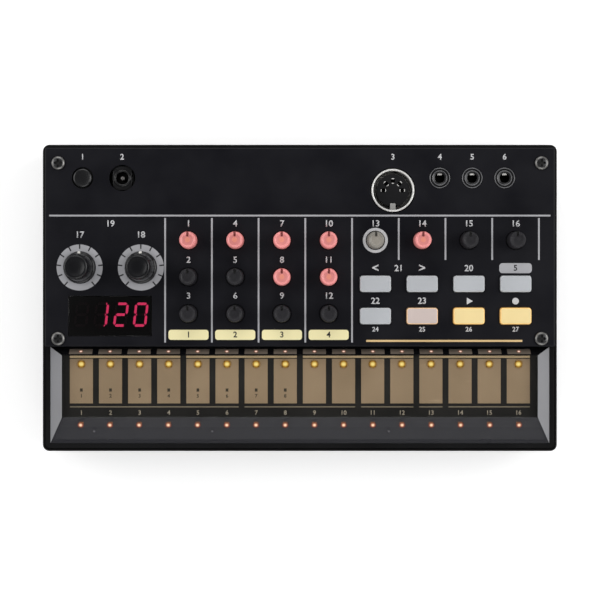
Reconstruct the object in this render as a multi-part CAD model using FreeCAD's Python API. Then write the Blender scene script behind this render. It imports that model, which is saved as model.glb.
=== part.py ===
import FreeCAD
import Part
import math
import os

# Step drum machine: a flat black tabletop case with a raised control deck, a clear
# touch strip in front of it, and a battery tub and loudspeaker in the tray below.
# Millimetres. X runs along the front, Y to the rear, Z up. The origin is under the
# middle of the case, on the surface that it stands on.

# Tray
case_corner = 2.5
case_wall = 2.0
base_chamfer = 1.0
rim_round = 0.4
rim_lip = 0.9
rebate_depth = 3.0
foot_height = 1.5
foot_radius = 5.0
foot_chamfer = 0.4
foot_recess = 0.5
foot_inset_x = 16.0
foot_inset_y = 10.0

# Upper frame, its deck, and the pocket for the touch strip
shadow_gap = 0.3
frame_wall = 1.8
deck_thickness = 1.5
deck_rise = 4.0
lip_rise = 1.2
pocket_depth = 1.5
touch_zone_depth = 38.2
deck_rib = 2.0

# Control plate and its layout
panel_thickness = 1.5
panel_inset = 0.5
panel_chamfer = 0.3
left_block = 44.7
right_margin = 5.9
rear_band = 25.2
first_row_drop = 9.2
front_margin = 12.2
column_count = 8
column_pitch = 17.375
row_count = 3
row_pitch = 13.65

# Clearances
rest_gap = 0.3
hole_gap = 0.3
shaft_gap = 0.05
button_gap = 0.15
cover_gap = 0.1
door_gap = 0.3
screw_gap = 0.05

# Touch strip
cover_wall = 1.5
bevel_side = 4.9
bevel_rear = 3.0
bevel_front = 9.9
step_count = 16
board_margin = 3.9
board_end_margin = 6.1
board_rear_margin = 2.8
touch_post = 0.8
pad_spacing = 2.27
pad_front_room = 8.85
pad_thickness = 0.1
pad_gap = 0.35
bar_width = 0.8
bar_margin = 0.2
strip_end_room = 1.35
led_length = 1.6
led_width = 1.0
led_height = 0.4
led_window = 2.4
led_inset = 2.0
front_led_inset = 1.45
rest_width = 2.0
rest_inset = 4.0
rest_end_gap = 1.0
rest_from_ribbon = 30.0

# Small knobs and potentiometers
knob_radius = 3.25
knob_rise = 6.5
knob_chamfer = 0.5
knob_stem_radius = 1.5
knob_stem_depth = 4.5
notch_width = 0.8
notch_length = 1.7
notch_depth = 0.9
pot_width = 9.5
pot_depth = 11.0
pot_height = 6.7

# Large dials
dial_inset = 12.9
dial_pitch = 22.75
dial_clearance = 3.6
dial_base_radius = 6.0
dial_top_radius = 4.35
dial_height = 11.6
dial_skirt = 1.4
dial_skirt_edge = 0.4
dial_grip_step = 0.7
dial_top_edge = 0.7
dial_float = 0.4
pointer_width = 1.0
pointer_rise = 0.1
pointer_foot_inset = 0.3
pointer_top_drop = 0.5
spindle_radius = 3.0
spindle_socket = 8.0
spindle_flat = 1.5
spindle_step = 0.2
dial_pot_width = 13.0
dial_pot_depth = 14.0
dial_window_gap = 0.5

# Push buttons and key switches
button_width = 11.65
button_depth = 6.2
button_corner = 1.0
button_rise = 1.5
button_chamfer = 0.35
button_flange = 0.8
button_flange_height = 1.0
button_travel = 0.6
button_drop = 16.2
button_pitch = 11.95
switch_size = 6.0
switch_height = 4.6
plunger_radius = 1.5
plunger_entry = 1.2

# Display
display_width = 31.0
display_height = 14.9
display_inset = 24.2
display_lift = 11.35
display_ledge = 1.0
digit_count = 4
digit_end_room = 1.4
digit_side_room = 0.55
digit_gap = 1.55
segment_width = 1.0
segment_thickness = 0.1
segment_gap = 0.25
digit_slant = 0.12

# Sockets on the rear band
socket_depth = 15.0
socket_row = 11.2
jack_inset = 18.65
jack_pitch = 12.05
jack_count = 3
jack_nose_radius = 3.85
jack_bore_radius = 1.8
jack_bore_depth = 14.1
jack_mouth_radius = 2.5
jack_mouth = 0.4
jack_body_width = 9.0
jack_body_depth = 10.5
jack_window_gap = 0.8
jack_rise = 0.2
midi_lead = 17.45
midi_drop = 15.8
midi_ring_radius = 8.1
midi_ring_wall = 0.8
midi_ring_depth = 10.2
midi_ring_rise = 0.3
midi_body_margin = 0.75
midi_insert_radius = 6.0
midi_insert_drop = 0.4
midi_hole_count = 5
midi_pin_circle = 3.5
midi_pin_radius = 0.8
midi_pin_depth = 6.0
midi_key_width = 2.3
midi_key_reach = 1.9
dc_inset = 28.7
dc_body = 8.8
dc_hole_radius = 4.9
dc_nose_radius = 3.3
dc_nose_drop = 0.6
dc_bore_radius = 2.35
dc_bore_depth = 9.5
dc_pin_radius = 0.85
dc_pin_drop = 1.5
power_inset = 14.0
power_radius = 3.45
power_hole_radius = 4.0
power_rise = 0.6
power_chamfer = 0.4
power_travel = 1.5
power_flange = 1.2
power_switch_size = 8.0
power_switch_height = 8.5

# Boards
board_thickness = 1.6
board_post = 2.8
board_side_margin = 8.5
main_board_front = 2.1
main_board_rear = 24.5
socket_board_front = 20.8
socket_board_rear = 1.8

# Cells, tub and cover
cell_diameter = 14.5
cell_length = 50.5
cell_nub = 1.2
cell_nub_radius = 2.75
cell_rows = 3
tub_wall = 1.5
tub_inset = 9.5
tub_centre_y = 2.5
contact_room = 5.5
plate_thickness = 0.5
plate_width = 10.0
leaf_width = 7.0
leaf_fold = 0.35
leaf_root_drop = 2.0
leaf_nose_low = 0.3
leaf_nose_high = 1.2
leaf_tip_rise = 4.0
leaf_tip_reach = 1.6
side_ledge = 1.0
rear_ledge = 2.0
tab_width = 9.0
tab_reach = 1.6
tab_thickness = 1.0
tab_lift = 0.1
tab_count = 3
tongue_width = 14.0
tongue_length = 9.0
slit_width = 0.8
tab_root = 3.0
grip_count = 3
grip_inset = 2.5
grip_pitch = 1.8
grip_width = 0.8
grip_depth = 0.5
grip_end = 2.0
scoop_depth = 1.0
scoop_reach = 4.0

# Loudspeaker and its grille
speaker_lead_room = 2.0
speaker_y = 0.0
speaker_radius = 20.0
speaker_rim = 1.6
speaker_rim_width = 2.0
basket_height = 8.0
magnet_radius = 11.0
magnet_height = 6.0
basket_neck = 1.5
surround_width = 1.0
surround_depth = 0.8
cone_throat = 6.0
cone_depth = 4.5
cap_radius = 3.5
cap_middle = 3.5
cap_edge = 2.5
speaker_ring_wall = 1.5
speaker_ring_height = 3.0
grille_radius = 16.0
grille_slots = 9
grille_pitch = 3.6
grille_slot_width = 1.8

# Screws and posts
screw_inset_x = 6.65
screw_inset_y = 7.35
front_screw_lift = 2.95
screw_radius = 1.3
screw_length = 14.0
screw_head_radius = 2.5
screw_head_height = 1.2
post_radius = 3.2
case_screw_front_inset = 26.5
case_screw_rear_lead = 16.6
case_screw_inset = 7.0
case_screw_radius = 1.45
case_screw_length = 14.0
case_head_radius = 2.8
case_head_height = 1.8
head_gap = 0.4
tip_gap = 0.5
tower_wall = 1.2
tower_seat = 6.5
tower_top = 14.0
boss_radius = 3.5
board_screw_radius = 0.95
board_head_radius = 1.9
board_head_height = 1.3
board_post_radius = 2.6
board_screw_grip = 2.2
board_screw_side = 2.4
board_screw_rear = 2.1
board_screw_front = 3.0
rib_screw_shift = 0.7
midi_screw_lead = 9.0
midi_screw_drop = 6.0
end_screw_side = 2.6
end_screw_drop = 6.5

# Cables inside
ribbon_x = -5.0
ribbon_width = 16.0
ribbon_thickness = 0.3
ribbon_bend = 2.0
ribbon_drop = 1.4
ribbon_start = 3.0
ribbon_slot_inset = 4.5
connector_width = 18.0
connector_depth = 4.0
connector_height = 2.0
upper_connector = 3.0
slot_margin = 1.0
lead_thickness = 1.2
lead_width = 2.4
lead_level = 2.0
lead_bend = 4.0

# Heights, from the table up
floor_z = foot_height
floor_top = floor_z + case_wall
cell_z = floor_top + rest_gap + cell_diameter / 2
tub_ceiling = cell_z + cell_diameter / 2 + rest_gap
tub_top = tub_ceiling + tub_wall
board_z = tub_top + board_post
board_top = board_z + board_thickness
pot_top = board_top + pot_height
deck_top = pot_top + rest_gap
panel_top = deck_top + panel_thickness
deck_under = deck_top - deck_thickness
rim_z = deck_top - deck_rise
ledge_z = rim_z - rebate_depth
lip_z = rim_z + lip_rise
shelf_top = lip_z - pocket_depth
shelf_under = shelf_top - deck_thickness
touch_board_z = shelf_top + touch_post
touch_board_top = touch_board_z + board_thickness
socket_board_top = panel_top - socket_depth
socket_board_z = socket_board_top - board_thickness
screw_tip = deck_under - screw_length

# Outlines seen from above: the case is as long and deep as its controls and edges ask
edge_room = rim_lip + shadow_gap
case_length = left_block + column_count * column_pitch + right_margin + 2 * (panel_inset + edge_room)
control_depth = front_margin + (row_count - 1) * row_pitch + first_row_drop
case_depth = touch_zone_depth + control_depth + rear_band + panel_inset + 2 * edge_room
half_length = case_length / 2
half_depth = case_depth / 2
frame_half_x = half_length - edge_room
frame_half_y = half_depth - edge_room
frame_corner = case_corner - rim_lip
inside_x = frame_half_x - frame_wall
inside_y = frame_half_y - frame_wall
step_y = -frame_half_y + touch_zone_depth
panel_x = frame_half_x - panel_inset
panel_rear = frame_half_y - panel_inset
cover_x = inside_x - cover_gap
cover_front = -inside_y + cover_gap
cover_rear = step_y - rest_gap

# Control layout
band_y = panel_rear - rear_band
first_rule_x = -panel_x + left_block
columns = [first_rule_x + column_pitch * (i + 0.5) for i in range(column_count)]
first_row_y = band_y - first_row_drop
rows = [first_row_y - row_pitch * i for i in range(row_count)]
dial_xs = [-panel_x + dial_inset + dial_pitch * i for i in range(2)]
button_rows = [first_row_y - button_drop - button_pitch * i for i in range(2)]
display_x = -panel_x + display_inset
display_y = step_y + display_lift
digit_block_width = display_width - 2 * (display_ledge + rest_gap)
digit_block_depth = display_height - 2 * (display_ledge + rest_gap)
digit_width = (digit_block_width - (digit_count - 1) * digit_gap - digit_side_room) / digit_count
digit_pitch = digit_width + digit_gap
digit_height = digit_block_depth - 2 * digit_end_room
dial_y = display_y + display_height / 2 + dial_clearance + dial_pot_depth / 2
socket_y = panel_rear - socket_row
midi_y = panel_rear - midi_drop
dc_x = -panel_x + dc_inset
power_x = -panel_x + power_inset
jack_xs = [panel_x - jack_inset - jack_pitch * (jack_count - 1 - i) for i in range(jack_count)]
midi_x = jack_xs[0] - midi_lead

# Touch strip layout
strip_x = cover_x - bevel_side
strip_rear = cover_rear - bevel_rear
touch_board_x = cover_x - board_margin
touch_board_rear = cover_rear - board_rear_margin
touch_board_front = cover_front + board_end_margin
step_pitch = 2 * (strip_x - strip_end_room) / step_count
pad_width = step_pitch - pad_spacing
steps = [step_pitch * (i - (step_count - 1) / 2) for i in range(step_count)]
bar_rear = strip_rear - bar_margin
pad_rear = bar_rear - bar_width - pad_gap
pad_length = pad_rear - touch_board_front - pad_front_room
led_y = pad_rear - led_inset
front_led_y = touch_board_front + front_led_inset
ribbon_slot_y = touch_board_rear - ribbon_slot_inset

# Tub layout
tub_x0 = -(half_length - case_wall) + tub_inset
tub_x1 = tub_x0 + contact_room + 2 * cell_length + plate_thickness
tub_half_y = (cell_rows * cell_diameter + (cell_rows + 1) * rest_gap) / 2
tub_y0 = tub_centre_y - tub_half_y
tub_y1 = tub_centre_y + tub_half_y
cell_ys = [tub_centre_y + (cell_diameter + rest_gap) * (i - (cell_rows - 1) / 2) for i in range(cell_rows)]
door_x0 = tub_x0 + side_ledge
door_x1 = tub_x1 - side_ledge
door_y0 = tub_y0 + side_ledge
door_y1 = tub_y1 - rear_ledge
speaker_x = (tub_x1 + tub_wall + speaker_lead_room + half_length - case_wall) / 2

# Fastener places
panel_screws = [
    (side * (half_length - screw_inset_x), y)
    for side in (-1, 1)
    for y in (half_depth - screw_inset_y, step_y + front_screw_lift)
]
case_screws = [
    (side * x, end * (half_depth - case_screw_inset))
    for side in (-1, 1)
    for x, end in ((half_length - case_screw_front_inset, -1), (midi_x - case_screw_rear_lead, 1))
]
main_board_y0 = step_y + main_board_front
main_board_y1 = half_depth - case_wall - main_board_rear
socket_board_y0 = half_depth - case_wall - socket_board_front
socket_board_y1 = half_depth - case_wall - socket_board_rear
board_half_length = half_length - case_wall - board_side_margin
main_board_screws = [
    (-board_half_length + board_screw_side, main_board_y1 - board_screw_rear),
    (board_half_length - board_screw_side, main_board_y1 - board_screw_rear),
    (first_rule_x, main_board_y0 + board_screw_front),
    (first_rule_x + 4 * column_pitch - rib_screw_shift, main_board_y0 + board_screw_front),
]
socket_board_screws = [
    (first_rule_x + column_pitch / 2, socket_y),
    (midi_x - midi_ring_radius - midi_screw_lead, socket_y - midi_screw_drop),
    (board_half_length - end_screw_side, socket_y - end_screw_drop),
]


def block(x0, x1, y0, y1, z0, z1):
    return Part.makeBox(x1 - x0, y1 - y0, z1 - z0, FreeCAD.Vector(x0, y0, z0))


def slab(x, y, width, depth, z0, z1):
    return block(x - width / 2, x + width / 2, y - depth / 2, y + depth / 2, z0, z1)


def disc(x, y, radius, z0, z1):
    return Part.makeCylinder(radius, z1 - z0, FreeCAD.Vector(x, y, z0))


def upright_edges(shape):
    edges = []
    for edge in shape.Edges:
        ends = edge.Vertexes
        if len(ends) == 2 and abs(ends[0].X - ends[1].X) + abs(ends[0].Y - ends[1].Y) < 1e-6:
            edges.append(edge)
    return edges


def rounded(shape, radius):
    return shape.makeFillet(radius, upright_edges(shape))


def level_edges(shape, z):
    return [e for e in shape.Edges if all(abs(v.Z - z) < 1e-6 for v in e.Vertexes)]


def face_of(points):
    corners = [FreeCAD.Vector(*p) for p in points]
    return Part.Face(Part.makePolygon(corners + corners[:1]))


def across_x(points, x0, x1):
    """Prism of a (y, z) outline along X."""
    return face_of([(x0, y, z) for y, z in points]).extrude(FreeCAD.Vector(x1 - x0, 0, 0))


def across_y(points, y0, y1):
    """Prism of an (x, z) outline along Y."""
    return face_of([(x, y0, z) for x, z in points]).extrude(FreeCAD.Vector(0, y1 - y0, 0))


def turned(x, y, points):
    """Solid turned from an (r, z) outline about the upright line at x, y."""
    outline = face_of([(x + r, y, z) for r, z in points])
    return outline.revolve(FreeCAD.Vector(x, y, 0), FreeCAD.Vector(0, 0, 1), 360)


def joined(shapes):
    return shapes[0].multiFuse(shapes[1:]).removeSplitter()


def hipped(x_half, front, rear, z0, z_side, z_rear, z_front, z1, run_side, run_rear, run_front):
    """Block whose four upper sides slope in to a flat top."""
    ends = across_y(
        [
            (-x_half, z0),
            (x_half, z0),
            (x_half, z_side),
            (x_half - run_side, z1),
            (-x_half + run_side, z1),
            (-x_half, z_side),
        ],
        front,
        rear,
    )
    sides = across_x(
        [
            (front, z0),
            (rear, z0),
            (rear, z_rear),
            (rear - run_rear, z1),
            (front + run_front, z1),
            (front, z_front),
        ],
        -x_half,
        x_half,
    )
    return ends.common(sides)


def lower_case():
    tray = rounded(block(-half_length, half_length, -half_depth, half_depth, floor_z, rim_z), case_corner)
    tray = tray.makeChamfer(base_chamfer, level_edges(tray, floor_z))
    tray = tray.makeFillet(rim_round, level_edges(tray, rim_z))
    hollow_x = half_length - case_wall
    hollow_y = half_depth - case_wall
    rebate_x = half_length - rim_lip
    rebate_y = half_depth - rim_lip
    hollow = block(-hollow_x, hollow_x, -hollow_y, hollow_y, floor_top, rim_z)
    rebate = rounded(block(-rebate_x, rebate_x, -rebate_y, rebate_y, ledge_z, rim_z), frame_corner)
    tray = tray.cut([hollow, rebate])
    solids = [tray, tub(), speaker_ring()]
    solids += [disc(x, y, post_radius, floor_top, post_head(y)) for x, y in panel_screws]
    tower = case_head_radius + head_gap + tower_wall
    solids += [disc(x, y, tower, floor_top, tower_top) for x, y in case_screws]
    solids += [disc(x, y, board_post_radius, post_foot(x, y), board_z) for x, y in main_board_screws]
    solids += [disc(x, y, board_post_radius, floor_top, socket_board_z) for x, y in socket_board_screws]
    return joined(solids).cut(lower_case_holes())


def post_head(y):
    """The rear posts reach the deck, and the front ones meet a boss of the frame under its shelf."""
    return deck_under if y > 0 else shelf_under


def post_foot(x, y):
    """A board post stands on the tub's roof where it is over it, and elsewhere on the floor."""
    over = tub_x0 < x < tub_x1 and tub_y0 < y < tub_y1
    return tub_ceiling if over else floor_top


def tub():
    outer = block(
        tub_x0 - tub_wall, tub_x1 + tub_wall, tub_y0 - tub_wall, tub_y1 + tub_wall, floor_top, tub_top
    )
    return outer.cut(block(tub_x0, tub_x1, tub_y0, tub_y1, floor_top, tub_ceiling))


def speaker_ring():
    inner = speaker_radius + rest_gap
    ring = disc(speaker_x, speaker_y, inner + speaker_ring_wall, floor_top, floor_top + speaker_ring_height)
    return ring.cut(disc(speaker_x, speaker_y, inner, floor_top, floor_top + speaker_ring_height))


def lower_case_holes():
    holes = [block(door_x0, door_x1, door_y0, door_y1, floor_z, floor_top)]
    middle = (door_x0 + door_x1) / 2
    holes.append(
        block(
            middle - tongue_width / 2,
            middle + tongue_width / 2,
            door_y0 - scoop_reach,
            door_y0,
            floor_z,
            floor_z + scoop_depth,
        )
    )
    for x in (-1, 1):
        for y in (-1, 1):
            foot_x = x * (half_length - foot_inset_x)
            foot_y = y * (half_depth - foot_inset_y)
            holes.append(disc(foot_x, foot_y, foot_radius + hole_gap, floor_z, floor_z + foot_recess))
    holes += [disc(x, y, screw_radius + screw_gap, screw_tip, deck_under) for x, y in panel_screws]
    for x, y in case_screws:
        holes.append(disc(x, y, case_head_radius + head_gap, floor_z, tower_seat))
        holes.append(disc(x, y, case_screw_radius + 2 * screw_gap, tower_seat, tower_top))
    for z, places in ((board_z, main_board_screws), (socket_board_z, socket_board_screws)):
        holes += [disc(x, y, board_screw_radius + screw_gap, z - board_screw_grip, z) for x, y in places]
    return holes + grille()


def grille():
    """Slots under the loudspeaker, each cut to the chord of one circle."""
    slots = []
    for i in range(grille_slots):
        y = grille_pitch * (i - (grille_slots - 1) / 2)
        reach = math.sqrt(grille_radius**2 - y**2)
        slots.append(slab(speaker_x, speaker_y + y, 2 * reach, grille_slot_width, floor_z, floor_top))
    return slots


def upper_case():
    outer = rounded(
        block(-frame_half_x, frame_half_x, -frame_half_y, frame_half_y, ledge_z, deck_top), frame_corner
    )
    wall_back = step_y + deck_thickness
    cuts = [
        block(-frame_half_x, frame_half_x, -frame_half_y, step_y, lip_z, deck_top),
        block(-inside_x, inside_x, -inside_y, step_y, shelf_top, lip_z),
        block(-inside_x, inside_x, -inside_y, wall_back, ledge_z, shelf_under),
        block(-inside_x, inside_x, wall_back, inside_y, ledge_z, deck_under),
    ]
    shell = outer.cut(cuts + deck_windows())
    bosses = [disc(x, y, post_radius, shelf_under, deck_under) for x, y in panel_screws if y < 0]
    return joined([shell] + bosses + touch_rests() + case_bosses()).cut(upper_case_holes())


def deck_windows():
    """Openings in the deck for what stands on the boards, with ribs left under the plate's rules."""
    windows = []
    zone_rear = band_y - deck_rib
    front = rows[-1] - pot_depth / 2 - deck_rib
    dial_front = dial_y - dial_pot_depth / 2 - dial_window_gap
    windows.append(block(-inside_x + 2 * deck_rib, first_rule_x - deck_rib, dial_front, zone_rear, 0, 1))
    for x in columns:
        half = (column_pitch - deck_rib) / 2
        windows.append(block(x - half, x + half, front, zone_rear, 0, 1))
    lens_x = display_width / 2 - display_ledge
    lens_y = display_height / 2 - display_ledge
    windows.append(slab(display_x, display_y, 2 * lens_x, 2 * lens_y, 0, 1))
    socket_front = socket_y - jack_body_depth / 2 - deck_rib
    socket_rear = socket_y + jack_body_depth / 2 + deck_rib
    power_side = power_x - power_hole_radius - deck_rib
    dc_side = dc_x + dc_body / 2 + deck_rib
    windows.append(block(power_side, dc_side, socket_front, socket_rear, 0, 1))
    jack_half = jack_body_width / 2 + jack_window_gap
    windows.append(block(jack_xs[0] - jack_half, jack_xs[-1] + jack_half, socket_front, socket_rear, 0, 1))
    windows.append(disc(midi_x, midi_y, midi_ring_radius + 2 * hole_gap, 0, 1))
    return [stretched(w, deck_under, deck_top) for w in windows]


def stretched(shape, z0, z1):
    """The same outline as a one-high shape on the ground, from z0 to z1."""
    bottom = min(shape.Faces, key=lambda face: face.CenterOfMass.z)
    base = bottom.translated(FreeCAD.Vector(0, 0, z0 - bottom.CenterOfMass.z))
    return base.extrude(FreeCAD.Vector(0, 0, z1 - z0))


def touch_rests():
    """Low strips that carry the touch board above the shelf."""
    front = touch_board_front + rest_end_gap
    rear = touch_board_rear - rest_end_gap
    half = rest_width / 2
    end = touch_board_x - rest_inset
    spots = (-end, ribbon_x - rest_from_ribbon, ribbon_x + rest_from_ribbon, end)
    return [block(x - half, x + half, front, rear, shelf_under, touch_board_z) for x in spots]


def case_bosses():
    bosses = []
    for x, y in case_screws:
        top = shelf_under if y < 0 else deck_under
        bosses.append(disc(x, y, boss_radius, tower_top + rest_gap, top))
    return bosses


def upper_case_holes():
    holes = [disc(x, y, screw_radius + 4 * screw_gap, shelf_under, deck_top) for x, y in panel_screws]
    for x, y in case_screws:
        tip = tower_seat + case_screw_length
        holes.append(disc(x, y, case_screw_radius + screw_gap, tower_top, tip + tip_gap))
    width = connector_width + 2 * slot_margin
    depth = connector_depth + 2 * slot_margin
    holes.append(slab(ribbon_x, ribbon_slot_y, width, depth, shelf_under, shelf_top))
    return holes


def front_panel():
    plate = block(-panel_x, panel_x, step_y, panel_rear, deck_top, panel_top)
    plate = plate.makeChamfer(panel_chamfer, level_edges(plate, panel_top))
    holes = [disc(x, y, knob_radius + hole_gap, deck_top, panel_top) for x, y in knob_places()]
    holes += [disc(x, dial_y, spindle_radius + hole_gap, deck_top, panel_top) for x in dial_xs]
    holes += [disc(x, y, screw_radius + 4 * screw_gap, deck_top, panel_top) for x, y in panel_screws]
    holes += [disc(x, socket_y, jack_nose_radius + hole_gap / 2, deck_top, panel_top) for x in jack_xs]
    holes.append(disc(midi_x, midi_y, midi_ring_radius + hole_gap, deck_top, panel_top))
    holes.append(disc(dc_x, socket_y, dc_hole_radius, deck_top, panel_top))
    holes.append(disc(power_x, socket_y, power_hole_radius, deck_top, panel_top))
    width = display_width + 2 * cover_gap
    depth = display_height + 2 * cover_gap
    holes.append(slab(display_x, display_y, width, depth, deck_top, panel_top))
    for x, y in button_places():
        width = button_width + 2 * button_gap
        depth = button_depth + 2 * button_gap
        holes.append(rounded(slab(x, y, width, depth, deck_top, panel_top), button_corner + button_gap))
    return plate.cut(holes)


def knob_places():
    """The left four columns hold three knobs each, and the right four hold one each."""
    half = column_count // 2
    places = [(x, y) for x in columns[:half] for y in rows]
    return places + [(x, rows[0]) for x in columns[half:]]


def button_places():
    return [(x, y) for y in button_rows for x in columns[column_count // 2 :]]


def touch_cover():
    """Clear strip with a flat top and four bevels, hollow underneath by one wall."""
    drop = panel_top - lip_z
    outer = hipped(
        cover_x,
        cover_front,
        cover_rear,
        shelf_top,
        lip_z,
        lip_z,
        lip_z,
        panel_top,
        bevel_side,
        bevel_rear,
        bevel_front,
    )
    inner_top = panel_top - cover_wall
    runs = []
    starts = []
    for run in (bevel_side, bevel_rear, bevel_front):
        slope = math.atan2(drop, run)
        start = lip_z - cover_wall * math.tan((math.pi / 2 - slope) / 2)
        starts.append(start)
        runs.append((inner_top - start) * run / drop)
    inner = hipped(
        cover_x - cover_wall,
        cover_front + cover_wall,
        cover_rear - cover_wall,
        shelf_top,
        starts[0],
        starts[1],
        starts[2],
        inner_top,
        runs[0],
        runs[1],
        runs[2],
    )
    return outer.cut(inner)


def touch_board():
    return block(
        -touch_board_x, touch_board_x, touch_board_front, touch_board_rear, touch_board_z, touch_board_top
    )


def touch_pads():
    """Plated sensor pads, one a step, with a bar along the rear of each group of four."""
    top = touch_board_top + pad_thickness
    pads = []
    for x in steps:
        pad = slab(x, pad_rear - pad_length / 2, pad_width, pad_length, touch_board_top, top)
        pads.append(pad.cut(slab(x, led_y, led_window, led_window, touch_board_top, top)))
    for i in range(0, step_count, 4):
        left = steps[i] - pad_width / 2
        right = steps[i + 3] + pad_width / 2
        pads.append(block(left, right, bar_rear - bar_width, bar_rear, touch_board_top, top))
    return Part.makeCompound(pads)


def step_leds():
    """Chip lamps: one inside each pad, and one under the front bevel below it."""
    lamps = []
    for y in (led_y, front_led_y):
        for x in steps:
            lamps.append(slab(x, y, led_length, led_width, touch_board_top, touch_board_top + led_height))
    return Part.makeCompound(lamps)


def main_board():
    board = block(-board_half_length, board_half_length, main_board_y0, main_board_y1, board_z, board_top)
    hole = board_screw_radius + 2 * screw_gap
    return board.cut([disc(x, y, hole, board_z, board_top) for x, y in main_board_screws])


def socket_board():
    top = socket_board_top
    end = board_half_length
    board = block(-end, end, socket_board_y0, socket_board_y1, socket_board_z, top)
    hole = board_screw_radius + 2 * screw_gap
    holes = [disc(x, y, hole, socket_board_z, top) for x, y in socket_board_screws]
    holes += [disc(x, y, boss_radius + hole_gap, socket_board_z, top) for x, y in case_screws if y > 0]
    return board.cut(holes)


def display_window():
    return slab(display_x, display_y, display_width, display_height, deck_top, panel_top)


def led_display():
    top = pot_top - segment_thickness
    return slab(display_x, display_y, digit_block_width, digit_block_depth, board_top, top)


def display_segments():
    """Seven bars a digit, leaning a little to the right."""
    bars = []
    for i in range(digit_count):
        x = display_x + digit_pitch * (i - (digit_count - 1) / 2)
        bars += digit_bars(x, display_y)
    return Part.makeCompound(bars)


def digit_bars(x, y):
    half_w = (digit_width - segment_width) / 2
    half_h = (digit_height - segment_width) / 2
    gap = segment_gap
    bars = []
    for level in (-1, 0, 1):
        bars.append(leaning(x, y, -half_w + gap, half_w - gap, level * half_h, level * half_h))
    for side in (-1, 1):
        for low in (-1, 0):
            foot = low * half_h + gap
            bars.append(leaning(x, y, side * half_w, side * half_w, foot, foot + half_h - 2 * gap))
    return bars


def leaning(x, y, u0, u1, v0, v1):
    """One bar with pointed ends between two points of an upright digit, then leaned over."""
    half = segment_width / 2
    if v0 == v1:
        outline = [(u0, v0), (u0 + half, v0 + half), (u1 - half, v0 + half), (u1, v0)]
        outline += [(u1 - half, v0 - half), (u0 + half, v0 - half)]
    else:
        outline = [(u0, v0), (u0 + half, v0 + half), (u0 + half, v1 - half), (u0, v1)]
        outline += [(u0 - half, v1 - half), (u0 - half, v0 + half)]
    z = pot_top - segment_thickness
    points = [(x + u + v * digit_slant, y + v, z) for u, v in outline]
    return face_of(points).extrude(FreeCAD.Vector(0, 0, segment_thickness))


def dc_jack():
    top = pot_top
    body = slab(dc_x, socket_y, dc_body, dc_body, socket_board_top, top)
    nose_top = panel_top - dc_nose_drop
    body = body.fuse(disc(dc_x, socket_y, dc_nose_radius, top, nose_top))
    bottom = nose_top - dc_bore_depth
    body = body.cut(disc(dc_x, socket_y, dc_bore_radius, bottom, panel_top))
    pin = disc(dc_x, socket_y, dc_pin_radius, bottom, panel_top - dc_pin_drop)
    return joined([body, pin])


def midi_socket():
    """Plastic body with a round insert, five contact holes over its upper half and a key notch."""
    foot_top = panel_top - midi_ring_depth
    width = 2 * (midi_ring_radius + midi_body_margin)
    body = slab(midi_x, midi_y, width, 2 * midi_ring_radius, socket_board_top, foot_top)
    insert = disc(midi_x, midi_y, midi_insert_radius, foot_top, panel_top - midi_insert_drop)
    holes = []
    for i in range(midi_hole_count):
        angle = math.pi * i / (midi_hole_count - 1)
        x = midi_x + midi_pin_circle * math.cos(angle)
        y = midi_y + midi_pin_circle * math.sin(angle)
        holes.append(disc(x, y, midi_pin_radius, panel_top - midi_pin_depth, panel_top))
    reach = midi_ring_radius - midi_ring_wall - midi_key_reach - rest_gap
    width = midi_key_width + 2 * rest_gap
    notch = block(
        midi_x - width / 2, midi_x + width / 2, midi_y - midi_ring_radius, midi_y - reach, foot_top, panel_top
    )
    return joined([body, insert]).cut(holes + [notch])


def midi_shield():
    """Metal sleeve round the insert, with the key pressed inwards at the front."""
    inner = midi_ring_radius - midi_ring_wall
    foot_top = panel_top - midi_ring_depth
    top = panel_top + midi_ring_rise
    sleeve = disc(midi_x, midi_y, midi_ring_radius, foot_top, top)
    sleeve = sleeve.cut(disc(midi_x, midi_y, inner, foot_top, top))
    key = block(
        midi_x - midi_key_width / 2,
        midi_x + midi_key_width / 2,
        midi_y - inner - midi_ring_wall / 2,
        midi_y - inner + midi_key_reach,
        foot_top,
        panel_top - midi_insert_drop,
    )
    return joined([sleeve, key])


def audio_jacks():
    top = panel_top + jack_rise
    jacks = []
    for x in jack_xs:
        body = slab(x, socket_y, jack_body_width, jack_body_depth, socket_board_top, pot_top)
        nose = disc(x, socket_y, jack_nose_radius, pot_top, top)
        bore = disc(x, socket_y, jack_bore_radius, top - jack_mouth - jack_bore_depth, top)
        mouth = disc(x, socket_y, jack_mouth_radius, top - jack_mouth, top)
        jacks.append(joined([body, nose]).cut([bore, mouth]))
    return Part.makeCompound(jacks)


def power_switch():
    top = socket_board_top + power_switch_height
    body = slab(power_x, socket_y, power_switch_size, power_switch_size, socket_board_top, top)
    depth = plunger_entry + power_travel + rest_gap
    return body.cut(disc(power_x, socket_y, plunger_radius + shaft_gap, top - depth, top))


def power_button():
    flange_top = deck_top - rest_gap
    cap = disc(power_x, socket_y, power_radius, flange_top - power_flange, panel_top + power_rise)
    cap = cap.makeChamfer(power_chamfer, level_edges(cap, panel_top + power_rise))
    flange = disc(power_x, socket_y, power_radius + power_flange, flange_top - power_flange, flange_top)
    tip = socket_board_top + power_switch_height - plunger_entry
    stem = disc(power_x, socket_y, plunger_radius, tip, flange_top - power_flange)
    return joined([cap, flange, stem])


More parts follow.
